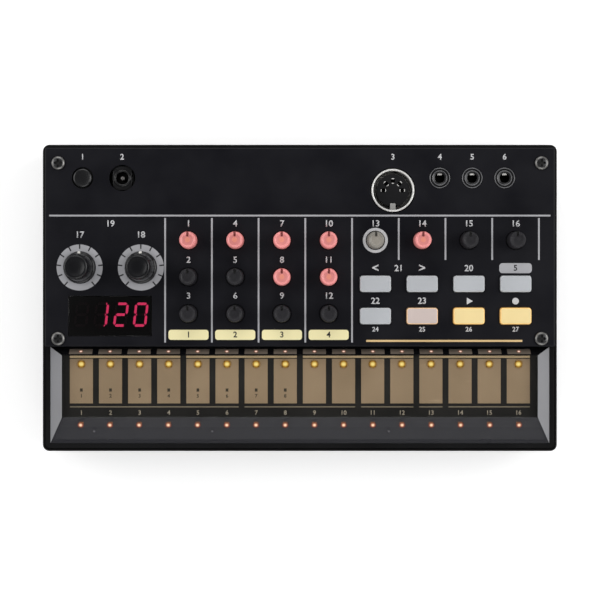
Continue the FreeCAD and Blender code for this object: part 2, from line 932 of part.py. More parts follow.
def push_button(x, y):
    """Rubber key: a rounded cap, a flange that stops it under the plate, and a plunger."""
    top = panel_top + button_rise
    flange_top = deck_top - rest_gap
    flange_bottom = flange_top - button_flange_height
    cap = rounded(slab(x, y, button_width, button_depth, flange_bottom, top), button_corner)
    cap = cap.makeChamfer(button_chamfer, level_edges(cap, top))
    width = button_width + 2 * button_flange
    depth = button_depth + 2 * button_flange
    flange = slab(x, y, width, depth, flange_bottom, flange_top)
    tip = board_top + switch_height - plunger_entry
    stem = disc(x, y, plunger_radius, tip, flange_bottom)
    return joined([cap, flange, stem])


def key_switches():
    top = board_top + switch_height
    depth = plunger_entry + button_travel + rest_gap
    switches = []
    for x, y in button_places():
        body = slab(x, y, switch_size, switch_size, board_top, top)
        switches.append(body.cut(disc(x, y, plunger_radius + shaft_gap, top - depth, top)))
    return Part.makeCompound(switches)


def small_knob(x, y):
    """One-piece knob and shaft, with a notch in its rim that points to the rear at mid travel."""
    top = panel_top + knob_rise
    tip = pot_top - knob_stem_depth
    knob = turned(
        x,
        y,
        [
            (0, tip),
            (knob_stem_radius, tip),
            (knob_stem_radius, deck_top),
            (knob_radius, deck_top),
            (knob_radius, top - knob_chamfer),
            (knob_radius - knob_chamfer, top),
            (0, top),
        ],
    )
    notch_y = y + knob_radius - notch_length / 2
    notch = slab(x, notch_y, notch_width, notch_length, top - notch_depth, top)
    return knob.cut(notch)


def small_pots():
    pots = []
    for x, y in knob_places():
        body = slab(x, y, pot_width, pot_depth, board_top, pot_top)
        hole = disc(x, y, knob_stem_radius + shaft_gap, pot_top - knob_stem_depth - rest_gap, pot_top)
        pots.append(body.cut(hole))
    return Part.makeCompound(pots)


def dial(x):
    """Tapered grip on a short skirt, with a raised pointer and a D-shaped socket underneath."""
    bottom = panel_top + dial_float
    top = bottom + dial_height
    skirt_top = bottom + dial_skirt
    knob = turned(
        x,
        dial_y,
        [
            (0, bottom),
            (dial_base_radius, bottom),
            (dial_base_radius, skirt_top - dial_skirt_edge),
            (dial_base_radius - dial_skirt_edge, skirt_top),
            (dial_base_radius - dial_grip_step, skirt_top),
            (dial_top_radius, top - dial_top_edge),
            (dial_top_radius - dial_top_edge, top),
            (0, top),
        ],
    )
    ridge = across_x(
        [
            (dial_y, skirt_top),
            (dial_y + dial_base_radius - pointer_foot_inset, skirt_top - dial_skirt_edge / 2),
            (dial_y + dial_top_radius + pointer_rise, top - pointer_top_drop),
            (dial_y, top - pointer_top_drop),
        ],
        x - pointer_width / 2,
        x + pointer_width / 2,
    )
    socket = d_rod(x, spindle_radius + shaft_gap, bottom, bottom + spindle_socket)
    return joined([knob, ridge]).cut(socket)


def d_rod(x, radius, z0, z1):
    """Round rod with one flat towards the front."""
    rod = disc(x, dial_y, radius, z0, z1)
    flat = block(x - radius, x + radius, dial_y - radius, dial_y - radius + spindle_flat, z0, z1)
    return rod.cut(flat)


def spindle(x):
    """Potentiometer shaft: round in its bush, and flatted where the dial sits on it."""
    bottom = panel_top + dial_float
    tip = pot_top - knob_stem_depth
    round_part = disc(x, dial_y, spindle_radius, tip, bottom - spindle_step)
    flatted = d_rod(x, spindle_radius, bottom - spindle_step, bottom + spindle_socket - rest_gap)
    return joined([round_part, flatted])


def large_pots():
    pots = []
    for x in dial_xs:
        body = slab(x, dial_y, dial_pot_width, dial_pot_depth, board_top, pot_top)
        hole = disc(x, dial_y, spindle_radius + shaft_gap, pot_top - knob_stem_depth - rest_gap, pot_top)
        pots.append(body.cut(hole))
    return Part.makeCompound(pots)


def speaker():
    """Driver seen from its back: rim on the floor, basket tapering up to the magnet."""
    rim_top = floor_top + speaker_rim
    basket_top = rim_top + basket_height
    cone = speaker_radius - speaker_rim_width
    return turned(
        speaker_x,
        speaker_y,
        [
            (speaker_radius, floor_top),
            (speaker_radius, rim_top),
            (cone, rim_top),
            (magnet_radius + basket_neck, basket_top),
            (magnet_radius, basket_top),
            (magnet_radius, basket_top + magnet_height),
            (0, basket_top + magnet_height),
            (0, floor_top + cap_middle),
            (cap_radius, floor_top + cap_edge),
            (cone_throat, floor_top + cone_depth),
            (cone - surround_width, floor_top + surround_depth),
            (cone, floor_top),
        ],
    )


def battery_door():
    """Flush cover with tabs along its rear edge and a sprung tongue in its front edge."""
    x0 = door_x0 + door_gap
    x1 = door_x1 - door_gap
    y0 = door_y0 + door_gap
    y1 = door_y1 - door_gap
    plate = block(x0, x1, y0, y1, floor_z, floor_top)
    solids = [plate]
    tab_z = floor_top + tab_lift
    for i in range(tab_count):
        x = x0 + (x1 - x0) * (i + 0.5) / tab_count
        outline = [
            (y1 - tab_root, floor_top),
            (y1, floor_top),
            (y1, tab_z),
            (door_y1 + tab_reach, tab_z),
            (door_y1 + tab_reach, tab_z + tab_thickness),
            (y1, tab_z + tab_thickness),
        ]
        solids.append(across_x(outline, x - tab_width / 2, x + tab_width / 2))
    middle = (x0 + x1) / 2
    slits = []
    for side in (-1, 1):
        edge = middle + side * tongue_width / 2
        slits.append(slab(edge, y0 + tongue_length / 2, slit_width, tongue_length, floor_z, floor_top))
    grips = []
    for i in range(grip_count):
        y = y0 + grip_inset + grip_pitch * i
        grips.append(slab(middle, y, tongue_width - 2 * grip_end, grip_width, floor_z, floor_z + grip_depth))
    return joined(solids).cut(slits + grips)


def battery_cells():
    cells = []
    for i, y in enumerate(cell_ys):
        for j in range(2):
            x = tub_x0 + contact_room + cell_length * j
            cells.append(cell(x, y, i % 2 == 0))
    return Part.makeCompound(cells)


def cell(x, y, nub_right):
    can = cell_length - cell_nub
    can_x = x if nub_right else x + cell_nub
    nub_x = x + can if nub_right else x
    along = FreeCAD.Vector(1, 0, 0)
    body = Part.makeCylinder(cell_diameter / 2, can, FreeCAD.Vector(can_x, y, cell_z), along)
    nub = Part.makeCylinder(cell_nub_radius, cell_nub, FreeCAD.Vector(nub_x, y, cell_z), along)
    return joined([body, nub])


def battery_contacts():
    """A plate at each row's right end, and a plate with a bowed leaf at its left end."""
    half = plate_width / 2
    contacts = []
    for y in cell_ys:
        plate_x = tub_x1 - plate_thickness
        contacts.append(block(plate_x, tub_x1, y - half, y + half, cell_z - half, cell_z + half))
        reach = tub_x0 + contact_room
        outline = [
            (tub_x0, cell_z - half),
            (tub_x0 + plate_thickness, cell_z - half),
            (tub_x0 + plate_thickness, cell_z - leaf_root_drop),
            (reach, cell_z - leaf_nose_low),
            (reach, cell_z + leaf_nose_high),
            (tub_x0 + leaf_tip_reach, cell_z + leaf_tip_rise),
            (tub_x0 + leaf_tip_reach - leaf_fold, cell_z + leaf_tip_rise - leaf_fold),
            (reach - leaf_fold, cell_z + leaf_nose_high - leaf_fold),
            (reach - leaf_fold, cell_z - leaf_nose_low + leaf_fold),
            (tub_x0 + plate_thickness, cell_z - leaf_root_drop + 2 * leaf_fold),
            (tub_x0 + plate_thickness, cell_z + half),
            (tub_x0, cell_z + half),
        ]
        contacts.append(across_y(outline, y - leaf_width / 2, y + leaf_width / 2))
    return Part.makeCompound(contacts)


def rubber_feet():
    feet = []
    for x in (-1, 1):
        for y in (-1, 1):
            foot_x = x * (half_length - foot_inset_x)
            foot_y = y * (half_depth - foot_inset_y)
            foot = disc(foot_x, foot_y, foot_radius, 0, foot_height + foot_recess)
            feet.append(foot.makeChamfer(foot_chamfer, level_edges(foot, 0)))
    return Part.makeCompound(feet)


def screw(x, y, radius, head_radius, head_height, seat, length, head_up):
    """Plain-shanked screw; its head bears on the height seat."""
    sign = 1 if head_up else -1
    head = disc(x, y, head_radius, min(seat, seat + sign * head_height), max(seat, seat + sign * head_height))
    shank = disc(x, y, radius, min(seat, seat - sign * length), max(seat, seat - sign * length))
    return joined([head, shank])


def panel_screw_group():
    length = panel_top - screw_tip - tip_gap
    return Part.makeCompound(
        [
            screw(x, y, screw_radius, screw_head_radius, screw_head_height, panel_top, length, True)
            for x, y in panel_screws
        ]
    )


def case_screw_group():
    size = (case_screw_radius, case_head_radius, case_head_height)
    return Part.makeCompound([screw(x, y, *size, tower_seat, case_screw_length, False) for x, y in case_screws])


def board_screw_group():
    screws = []
    for top, places in ((board_top, main_board_screws), (socket_board_top, socket_board_screws)):
        length = board_thickness + board_screw_grip - rest_gap
        for x, y in places:
            size = (board_screw_radius, board_head_radius, board_head_height)
            screws.append(screw(x, y, *size, top, length, True))
    return Part.makeCompound(screws)


def bent_strip(start, quarter_turns, level, rise, bend, thickness, width):
    """Flat strip that runs level from its start, then round one bend and straight up."""
    half = thickness / 2
    slant = math.sqrt(0.5)
    outer = bend + half
    inner = bend - half

    def at(x, z):
        return FreeCAD.Vector(x, 0, z)

    edges = [
        Part.LineSegment(at(0, -half), at(level, -half)),
        Part.Arc(at(level, -half), at(level + outer * slant, bend - outer * slant), at(level + outer, bend)),
        Part.LineSegment(at(level + outer, bend), at(level + outer, bend + rise)),
        Part.LineSegment(at(level + outer, bend + rise), at(level + inner, bend + rise)),
        Part.LineSegment(at(level + inner, bend + rise), at(level + inner, bend)),
        Part.Arc(at(level + inner, bend), at(level + inner * slant, bend - inner * slant), at(level, half)),
        Part.LineSegment(at(level, half), at(0, half)),
        Part.LineSegment(at(0, half), at(0, -half)),
    ]
    face = Part.Face(Part.Wire([edge.toShape() for edge in edges]))
    strip = face.extrude(FreeCAD.Vector(0, width, 0))
    strip.translate(FreeCAD.Vector(0, -width / 2, 0))
    strip.rotate(FreeCAD.Vector(0, 0, 0), FreeCAD.Vector(0, 0, 1), 90 * quarter_turns)
    strip.translate(FreeCAD.Vector(*start))
    return strip


def ribbon_cable():
    """Flat lead from under the main board forward, and up through the shelf to the touch board."""
    y = ribbon_slot_y
    back_y = main_board_y0 + ribbon_start
    run_z = board_z - ribbon_drop
    top_z = touch_board_z - upper_connector
    upper = slab(ribbon_x, y, connector_width, connector_depth, top_z, touch_board_z)
    lower_y = back_y + connector_depth / 2
    lower = slab(ribbon_x, lower_y, connector_width, connector_depth, board_z - connector_height, board_z)
    level = back_y - y - ribbon_bend
    rise = top_z - run_z - ribbon_bend
    start = (ribbon_x, back_y, run_z)
    strip = bent_strip(start, -1, level, rise, ribbon_bend, ribbon_thickness, ribbon_width)
    return Part.makeCompound([upper, lower, strip])


def internal_leads():
    """Flat twin leads that rise to the main board from the loudspeaker and from the tub."""
    magnet_z = floor_top + speaker_rim + basket_height + magnet_height / 2
    starts = ((speaker_x + magnet_radius, speaker_y, magnet_z), (tub_x1 + tub_wall, tub_centre_y, cell_z))
    leads = []
    for x, y, z in starts:
        rise = board_z - z - lead_bend
        leads.append(bent_strip((x, y, z), 0, lead_level, rise, lead_bend, lead_thickness, lead_width))
    return Part.makeCompound(leads)


knob_names = [
    "kick_click_knob",
    "kick_pitch_knob",
    "kick_decay_knob",
    "snare_snap_knob",
    "snare_pitch_knob",
    "snare_decay_knob",
    "tom_high_pitch_knob",
    "tom_low_pitch_knob",
    "tom_decay_knob",
    "hat_closed_decay_knob",
    "hat_open_decay_knob",
    "hat_grain_knob",
    "sample_speed_knob",
    "tempo_knob",
    "part_level_knob",
    "volume_knob",
]

button_names = [
    "part_back_button",
    "part_next_button",
    "mute_button",
    "function_button",
    "memory_button",
    "step_mode_button",
    "play_button",
    "record_button",
]

pieces = {
    "lower_case": lower_case(),
    "upper_case": upper_case(),
    "front_panel": front_panel(),
    "touch_cover": touch_cover(),
    "touch_board": touch_board(),
    "touch_pads": touch_pads(),
    "step_leds": step_leds(),
    "main_board": main_board(),
    "socket_board": socket_board(),
    "display_window": display_window(),
    "led_display": led_display(),
    "display_segments": display_segments(),
    "dc_jack": dc_jack(),
    "midi_socket": midi_socket(),
    "midi_shield": midi_shield(),
    "audio_jacks": audio_jacks(),
    "power_switch": power_switch(),
    "power_button": power_button(),
    "key_switches": key_switches(),
    "small_pots": small_pots(),
    "large_pots": large_pots(),
    "speaker": speaker(),
    "battery_door": battery_door(),
    "battery_cells": battery_cells(),
    "battery_contacts": battery_contacts(),
    "rubber_feet": rubber_feet(),
    "panel_screws": panel_screw_group(),
    "case_screws": case_screw_group(),
    "board_screws": board_screw_group(),
    "ribbon_cable": ribbon_cable(),
    "internal_leads": internal_leads(),
}
for name, x in zip(("time_dial", "depth_dial"), dial_xs):
    pieces[name] = dial(x)
    pieces[name.replace("dial", "spindle")] = spindle(x)
for name, place in zip(knob_names, knob_places()):
    pieces[name] = small_knob(*place)
for name, place in zip(button_names, button_places()):
    pieces[name] = push_button(*place)

os.makedirs("parts", exist_ok=True)
for name, shape in pieces.items():
    shape.exportStep("parts/" + name + ".step")
print(len(pieces), "nodes, overall height", round(panel_top + dial_float + dial_height, 2))
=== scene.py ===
import math

import bpy
from mathutils import Matrix, Vector


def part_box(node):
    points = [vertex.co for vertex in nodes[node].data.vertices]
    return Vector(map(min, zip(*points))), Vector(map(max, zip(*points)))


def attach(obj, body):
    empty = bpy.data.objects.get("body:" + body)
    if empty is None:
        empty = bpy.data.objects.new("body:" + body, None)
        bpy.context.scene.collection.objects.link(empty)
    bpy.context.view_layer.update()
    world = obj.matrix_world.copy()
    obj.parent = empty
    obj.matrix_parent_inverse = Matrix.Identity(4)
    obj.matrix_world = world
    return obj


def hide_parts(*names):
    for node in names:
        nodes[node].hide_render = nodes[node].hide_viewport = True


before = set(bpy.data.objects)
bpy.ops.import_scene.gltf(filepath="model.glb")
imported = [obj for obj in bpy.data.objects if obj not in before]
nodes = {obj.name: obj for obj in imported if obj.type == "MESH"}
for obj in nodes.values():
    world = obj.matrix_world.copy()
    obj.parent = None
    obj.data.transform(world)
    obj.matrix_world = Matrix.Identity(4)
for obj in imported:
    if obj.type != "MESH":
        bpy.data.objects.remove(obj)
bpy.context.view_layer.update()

mm = 0.001


def tone(red, green, blue):
    """A colour as it looks on a screen, 0 to 255, in the renderer's own linear values."""
    parts = [c / 255 for c in (red, green, blue)]
    return (*[c / 12.92 if c <= 0.04045 else ((c + 0.055) / 1.055) ** 2.4 for c in parts], 1.0)


def noise(material, place, scale, detail):
    """Cloudy noise over a place, as a value that mostly lies from 0.3 to 0.7."""
    cloud = material.node_tree.nodes.new("ShaderNodeTexNoise")
    cloud.inputs["Scale"].default_value = scale
    cloud.inputs["Detail"].default_value = detail
    material.node_tree.links.new(place, cloud.inputs["Vector"])
    return cloud.outputs["Fac"]


def ranged(material, value, start, end, low=0.0, high=1.0, curve="LINEAR"):
    """Turns a value that runs from start to end into one that runs from low to high."""
    steps = material.node_tree.nodes.new("ShaderNodeMapRange")
    steps.interpolation_type = curve
    for socket, number in zip(("From Min", "From Max", "To Min", "To Max"), (start, end, low, high)):
        steps.inputs[socket].default_value = number
    material.node_tree.links.new(value, steps.inputs["Value"])
    return steps.outputs["Result"]


def new_material(name):
    """A material with its list of shader nodes and the links between them."""
    material = bpy.data.materials.new(name)
    material.use_nodes = True
    return material, material.node_tree.nodes, material.node_tree.links


def surface(
    name, colour, roughness, grain=2600, relief=0.15, spread=0.1, shade=0.12,
    edge=0.0, wear=0.0, specular=0.5, metal=0.0,
):
    """A finish with fine grain in its relief, patches in its gloss and tone, and worn edges."""
    noise_low, noise_high = 0.3, 0.7
    patch_scale, scuff_scale = 55, 420
    grain_height = 0.05 * mm
    material, tree, links = new_material(name)
    shader = tree["Principled BSDF"]
    shader.inputs["Specular IOR Level"].default_value = specular
    shader.inputs["Metallic"].default_value = metal
    place = tree.new("ShaderNodeTexCoord").outputs["Object"]
    fine = noise(material, place, grain, 3)
    patches = noise(material, place, patch_scale, 5)
    smoothest, roughest = max(0.02, roughness - spread), min(1.0, roughness + spread)
    gloss = ranged(material, patches, noise_low, noise_high, smoothest, roughest)
    links.new(gloss, shader.inputs["Roughness"])
    tones = tree.new("ShaderNodeValToRGB")
    ramp = tones.color_ramp.elements
    ramp[0].position = noise_low
    ramp[1].position = noise_high
    ramp[0].color = (*[c * (1 - shade) for c in colour[:3]], 1)
    ramp[1].color = (*[min(1, c * (1 + shade)) for c in colour[:3]], 1)
    links.new(patches, tones.inputs["Fac"])
    links.new(tones.outputs["Color"], shader.inputs["Base Color"])
    bump = tree.new("ShaderNodeBump")
    bump.inputs["Strength"].default_value = relief
    bump.inputs["Distance"].default_value = grain_height
    links.new(fine, bump.inputs["Height"])
    links.new(bump.outputs["Normal"], shader.inputs["Normal"])
    if edge:
        soft = tree.new("ShaderNodeBevel")
        soft.samples = 4
        soft.inputs["Radius"].default_value = edge
        links.new(soft.outputs["Normal"], bump.inputs["Normal"])
    if wear:
        stretch = tree.new("ShaderNodeMapping")
        stretch.inputs["Scale"].default_value = (0.15, 1.0, 1.0)
        stretch.inputs["Rotation"].default_value = (0, 0, 0.6)
        links.new(place, stretch.inputs["Vector"])
        rub = noise(material, stretch.outputs["Vector"], scuff_scale, 6)
        scuff = tree.new("ShaderNodeMix")
        scuff.data_type = "RGBA"
        links.new(ranged(material, rub, 0.68, 0.76, 0.0, wear), scuff.inputs["Factor"])
        links.new(tones.outputs["Color"], scuff.inputs["A"])
        scuff.inputs["B"].default_value = (*[min(1, c * 2 + 0.02) for c in colour[:3]], 1)
        links.new(scuff.outputs["Result"], shader.inputs["Base Color"])
    return material


def dress(material, *names):
    """Gives CAD nodes their finish."""
    for name in names:
        nodes[name].data.materials.clear()
        nodes[name].data.materials.append(material)


case_grain = surface(
    "case_grain", tone(13, 13, 14), 0.5, grain=3200, relief=0.35, edge=0.35 * mm, wear=0.1, specular=0.14
)
dress(case_grain, "lower_case", "upper_case")

# Battery door. It is moulded in the tray's plastic and let in flush, with tabs along its
# rear edge and a sprung tongue at its front that clicks under the tray's floor.
door_grain = surface(
    "door_grain", tone(15, 15, 17), 0.55, grain=2800, relief=0.4, edge=0.3 * mm, wear=0.1, specular=0.18
)
dress(door_grain, "battery_door")

# Feet. Four discs of soft grey-black rubber are glued into shallow round recesses under
# the tray; they have a moulded matt skin that picks up a little dust.
foot_skin = surface("foot_skin", tone(44, 43, 42), 0.85, grain=1500, relief=0.5, shade=0.25, edge=0.4 * mm)
dress(foot_skin, "rubber_feet")

# Boards. The two boards in the case are green glass laminate with a clear solder mask, and
# brass-coloured through holes; each is screwed to posts of the tray.
mask_green = surface("mask_green", tone(22, 78, 46), 0.35, grain=900, relief=0.2, shade=0.3)
dress(mask_green, "main_board", "socket_board")

# Potentiometers, switches, display block and plated parts. The bodies are small grey-black
# parts in glossy thermoplastic, soldered to the boards under the plate; the dials' shafts,
# the cell contacts and the screws inside are of plated steel.
part_black = surface("part_black", tone(32, 32, 34), 0.4, grain=1800, relief=0.2, edge=0.2 * mm)
dress(part_black, "small_pots", "large_pots", "key_switches", "power_switch", "led_display", "ribbon_cable")
spindle_steel = surface(
    "spindle_steel", tone(176, 174, 168), 0.3, grain=4000, relief=0.2, edge=0.2 * mm, metal=1.0
)
dress(spindle_steel, "time_spindle", "depth_spindle", "battery_contacts", "case_screws", "board_screws")

# Loudspeaker. A pressed steel basket carries a paper cone and a ring magnet; its rim lies
# on the tray's floor inside a moulded ring, behind the slotted grille.
speaker_paper = surface(
    "speaker_paper", tone(48, 47, 46), 0.7, grain=700, relief=0.5, shade=0.2, edge=0.3 * mm
)
dress(speaker_paper, "speaker")

# Cells. Six round cells lie in the tub in pairs, in printed film jackets with a dull
# metal nub at one end.
cell_film = surface("cell_film", tone(96, 104, 112), 0.3, grain=500, relief=0.1, edge=0.5 * mm, metal=0.6)
dress(cell_film, "battery_cells")

# Inner leads. Flat twin leads in red sleeving run up from the loudspeaker and from the tub
# to the main board, and are soldered at both ends.
lead_sleeve = surface("lead_sleeve", tone(150, 30, 26), 0.45, grain=1500, relief=0.2, edge=0.2 * mm)
dress(lead_sleeve, "internal_leads")

# Control plate. A flat black plastic plate with a satin, finely grained face covers the
# deck; round and rounded holes let the controls through, and four screws hold it.
plate_satin = surface(
    "plate_satin", tone(14, 14, 20), 0.45, grain=5200, relief=0.22, edge=0.25 * mm, wear=0.08, specular=0.2
)
dress(plate_satin, "front_panel")
plate_low, plate_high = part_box("front_panel")
plate_z = plate_high.z

# Printed marks on the plate. They are screen-printed: a very thin film of grey, yellow and
# gold ink that stands a few hundredths of a millimetre proud of the plate.
ink_film = 0.03 * mm
knob_grid = [
    ["kick_click_knob", "kick_pitch_knob", "kick_decay_knob"],
    ["snare_snap_knob", "snare_pitch_knob", "snare_decay_knob"],
    ["tom_high_pitch_knob", "tom_low_pitch_knob", "tom_decay_knob"],
    ["hat_closed_decay_knob", "hat_open_decay_knob", "hat_grain_knob"],
]
single_knobs = ["sample_speed_knob", "tempo_knob", "part_level_knob", "volume_knob"]
button_rows = [
    ["part_back_button", "part_next_button", "mute_button", "function_button"],
    ["memory_button", "step_mode_button", "play_button", "record_button"],
]


def middle(node):
    """Where the middle of a CAD node is, seen from above."""
    low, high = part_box(node)
    return (low.x + high.x) / 2, (low.y + high.y) / 2


column_x = [middle(column[0])[0] for column in knob_grid] + [middle(name)[0] for name in single_knobs]
column_pitch = column_x[1] - column_x[0]
row_y = [middle(name)[1] for name in knob_grid[0]]
dial_spots = [middle("time_dial"), middle("depth_dial")]


def only(piece):
    """Makes a piece the one that the next operator works on."""
    bpy.ops.object.select_all(action="DESELECT")
    piece.select_set(True)
    bpy.context.view_layer.objects.active = piece
    return piece


def settle(piece):
    """Puts a piece's place and size into its mesh, with its origin at the frame's origin."""
    only(piece)
    bpy.ops.object.transform_apply(location=True, rotation=True, scale=True)
    return piece


def pick(piece, kind, chosen):
    """Opens a piece for editing with only the faces, edges or points that chosen names."""
    only(piece)
    bpy.ops.object.mode_set(mode="EDIT")
    bpy.ops.mesh.select_mode(type=kind)
    bpy.ops.mesh.select_all(action="DESELECT")
    bpy.ops.object.mode_set(mode="OBJECT")
    mesh = piece.data
    items = {"FACE": mesh.polygons, "EDGE": mesh.edges, "VERT": mesh.vertices}[kind]
    for item in items:
        item.select = chosen(item)
    bpy.ops.object.mode_set(mode="EDIT")


def close_edit():
    """Ends the editing of a piece."""
    bpy.ops.object.mode_set(mode="OBJECT")


def merge(parts, name):
    """Joins several meshes into one piece."""
    bpy.ops.object.select_all(action="DESELECT")
    for part in parts:
        part.select_set(True)
    bpy.context.view_layer.objects.active = parts[0]
    bpy.ops.object.join()
    whole = bpy.context.object
    whole.name = name
    whole.data.name = name
    return whole


def patch(x, y, width, depth, z, turn=0.0):
    """A flat four-sided patch of ink, laid on a height."""
    bpy.ops.mesh.primitive_plane_add(size=1, location=(x, y, z), rotation=(0, 0, turn))
    flat = bpy.context.object
    flat.scale = (width, depth, 1)
    return settle(flat)


def disc(x, y, z, radius, sides, turn=(0, 0, 0)):
    """A flat disc, or a triangle where it has three sides."""
    bpy.ops.mesh.primitive_circle_add(
        vertices=sides, radius=radius, fill_type="NGON", location=(x, y, z), rotation=turn
    )
    return settle(bpy.context.object)


def annulus(x, y, outer, inner, z, sides=96):
    """A flat printed ring: a disc, inset by the ring's width, with its middle taken out."""
    ring = disc(x, y, z, outer, sides)
    pick(ring, "FACE", lambda face: True)
    bpy.ops.mesh.inset(thickness=outer - inner)
    bpy.ops.mesh.delete(type="FACE")
    close_edit()
    return ring


def figure(text, x, y, height, z):
    """A plain printed number or mark, turned from type into flat mesh."""
    bpy.ops.object.select_all(action="DESELECT")
    bpy.ops.object.text_add(location=(x, y, z))
    letters = bpy.context.object
    letters.data.body = text
    letters.data.size = height / 0.7
    letters.data.resolution_u = 3
    letters.data.offset = 0.03 * height
    letters.data.align_x = "CENTER"
    letters.data.align_y = "CENTER"
    bpy.ops.object.convert(target="MESH")
    return settle(bpy.context.object)


def thicken(piece, thickness, offset=1.0, even=False):
    """Gives a piece's faces a thickness, outwards unless the offset is negative."""
    only(piece)
    wall = piece.modifiers.new("wall", "SOLIDIFY")
    wall.thickness = thickness
    wall.offset = offset
    wall.use_even_offset = even
    bpy.ops.object.modifier_apply(modifier="wall")


def finish_piece(piece, material, slot_name, body, *replaced, others=()):
    """Gives a finished piece its materials, its body and the nodes that it stands for; the slot name is not
    used.
    """
    piece.data.materials.clear()
    for finish in (material, *others):
        piece.data.materials.append(finish)
    if replaced:
        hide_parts(*replaced)
    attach(piece, body)
    return piece


def print_film(parts, name, material, slot_name, thickness=ink_film):
    """Thickens flat marks to a film of ink, and lays them on the case's plate."""
    film = merge(parts, name)
    thicken(film, thickness)
    return finish_piece(film, material, slot_name, "case")


def ink(name, colour, roughness=0.6, shade=0.12):
    """Printed ink with a very fine grain."""
    return surface(name, colour, roughness, grain=6000, relief=0.2, shade=shade)


grey_ink = ink("grey_ink", tone(168, 168, 172), shade=0.06)
rule = 0.64 * mm
rule_rise = 9.2 * mm
rule_margin = 1.6 * mm
rule_gap = 0.9 * mm
long_rule_margin = 1.5 * mm
short_rule_drop = 7.3 * mm
rule_y = row_y[0] + rule_rise
rule_top = rule_y - rule_gap
rules = [patch(0, rule_y, 2 * (plate_high.x - rule_margin), rule, plate_z)]
for i in range(len(column_x) + 1):
    x = column_x[0] + column_pitch * (i - 0.5)
    foot = plate_low.y + long_rule_margin if i <= len(knob_grid) else row_y[0] - short_rule_drop
    rules.append(patch(x, (rule_top + foot) / 2, rule, rule_top - foot, plate_z))
print_film(rules, "printed_rules", grey_ink, "panel_plastic")

dial_ring_outer = 8.57 * mm
dial_ring_inner = 6.05 * mm
rings = [annulus(x, y, dial_ring_outer, dial_ring_inner, plate_z) for x, y in dial_spots]
print_film(rings, "dial_rings", grey_ink, "panel_plastic")
label_grey = ink("label_grey", tone(200, 200, 202), shade=0.06)
speed_ring_outer = 4.65 * mm
speed_ring_inner = 3.6 * mm
speed_ring = annulus(*middle("sample_speed_knob"), speed_ring_outer, speed_ring_inner, plate_z, 64)
print_film([speed_ring], "speed_ring", label_grey, "panel_plastic")

black_ink = ink("black_ink", tone(24, 24, 27), 0.5)
top_film = 0.01 * mm
tick_count = 11
tick_step = math.radians(28)
tick_reach = dial_ring_outer - 0.8 * mm
tick_width = 0.5 * mm
tick_length = 1.7 * mm
ticks = []
for x, y in dial_spots:
    for i in range(tick_count):
        angle = tick_step * (i - (tick_count - 1) / 2)
        tick_x = x + tick_reach * math.sin(angle)
        tick_y = y + tick_reach * math.cos(angle)
        ticks.append(patch(tick_x, tick_y, tick_width, tick_length, plate_z + ink_film, -angle))
print_film(ticks, "dial_ticks", black_ink, "panel_plastic", top_film)

label_height = 2.3 * mm
row_label_rises = [6.15 * mm, 6.3 * mm, 6.6 * mm]
dial_label_rise = 12.1 * mm
upper_key_rise = 5.75 * mm
lower_key_rise = 5.55 * mm
lower_key_drop = 5.0 * mm
arrow_height = 3.2 * mm
small_label_height = 1.7 * mm
play_radius = 1.5 * mm
record_radius = 1.25 * mm


def label(text, node, rise, height=label_height):
    """A number or sign printed above the middle of a control."""
    x, y = middle(node)
    return figure(text, x, y + rise, height, plate_z)


all_knobs = [name for column in knob_grid for name in column] + single_knobs
knob_rises = row_label_rises * len(knob_grid) + row_label_rises[:1] * len(single_knobs)
marks = [label(str(i + 1), name, knob_rises[i]) for i, name in enumerate(all_knobs)]
marks += [label("17", "time_dial", dial_label_rise), label("18", "depth_dial", dial_label_rise)]
between_dials = (dial_spots[0][0] + dial_spots[1][0]) / 2
marks.append(figure("19", between_dials, row_y[0] + row_label_rises[0], label_height, plate_z))
key_labels = [
    ("<", "part_back_button", upper_key_rise, arrow_height),
    (">", "part_next_button", upper_key_rise, arrow_height),
    ("20", "mute_button", upper_key_rise, label_height),
    ("22", "memory_button", lower_key_rise, label_height),
    ("23", "step_mode_button", lower_key_rise, label_height),
]
for i, name in enumerate(button_rows[1]):
    key_labels.append((str(24 + i), name, -lower_key_drop, small_label_height))
marks += [label(*row) for row in key_labels]
between_keys = (column_x[4] + column_x[5]) / 2
upper_key_y = middle("mute_button")[1]
marks.append(figure("21", between_keys, upper_key_y + upper_key_rise, label_height, plate_z))
for name, sides, radius in (("play_button", 3, play_radius), ("record_button", 32, record_radius)):
    x, y = middle(name)
    marks.append(disc(x, y + lower_key_rise, plate_z, radius, sides, (0, 0, -math.pi / 2)))
socket_label_y = middle("power_button")[1] + 7.75 * mm
socket_label_height = 2.1 * mm
jack_low, jack_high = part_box("audio_jacks")
jack_y = (jack_low.y + jack_high.y) / 2
jack_half = 4.5 * mm
jack_x = [jack_low.x + jack_half, (jack_low.x + jack_high.x) / 2, jack_high.x - jack_half]
socket_x = [middle(name)[0] for name in ("power_button", "dc_jack", "midi_shield")] + jack_x
for i, x in enumerate(socket_x):
    marks.append(figure(str(i + 1), x, socket_label_y, socket_label_height, plate_z))
print_film(marks, "printed_numbers", label_grey, "panel_plastic")

plate_yellow = ink("plate_yellow", tone(243, 233, 180), shade=0.05)
yellow_y = row_y[2] - 7.85 * mm
yellow_width = 14.9 * mm
yellow_corner = 1.0 * mm
label_plate_depth = 3.75 * mm
grey_plate_rise = 5.85 * mm
grey_plate_width = 12.1 * mm
grey_plate_corner = 1.2 * mm
plate_number_height = 2.1 * mm


def rounded_patch(x, y, width, depth, z, corner):
    """A flat patch of ink with rounded corners."""
    flat = patch(x, y, width, depth, z)
    pick(flat, "VERT", lambda point: True)
    bpy.ops.mesh.bevel(offset=corner, segments=5, affect="VERTICES")
    close_edit()
    return flat


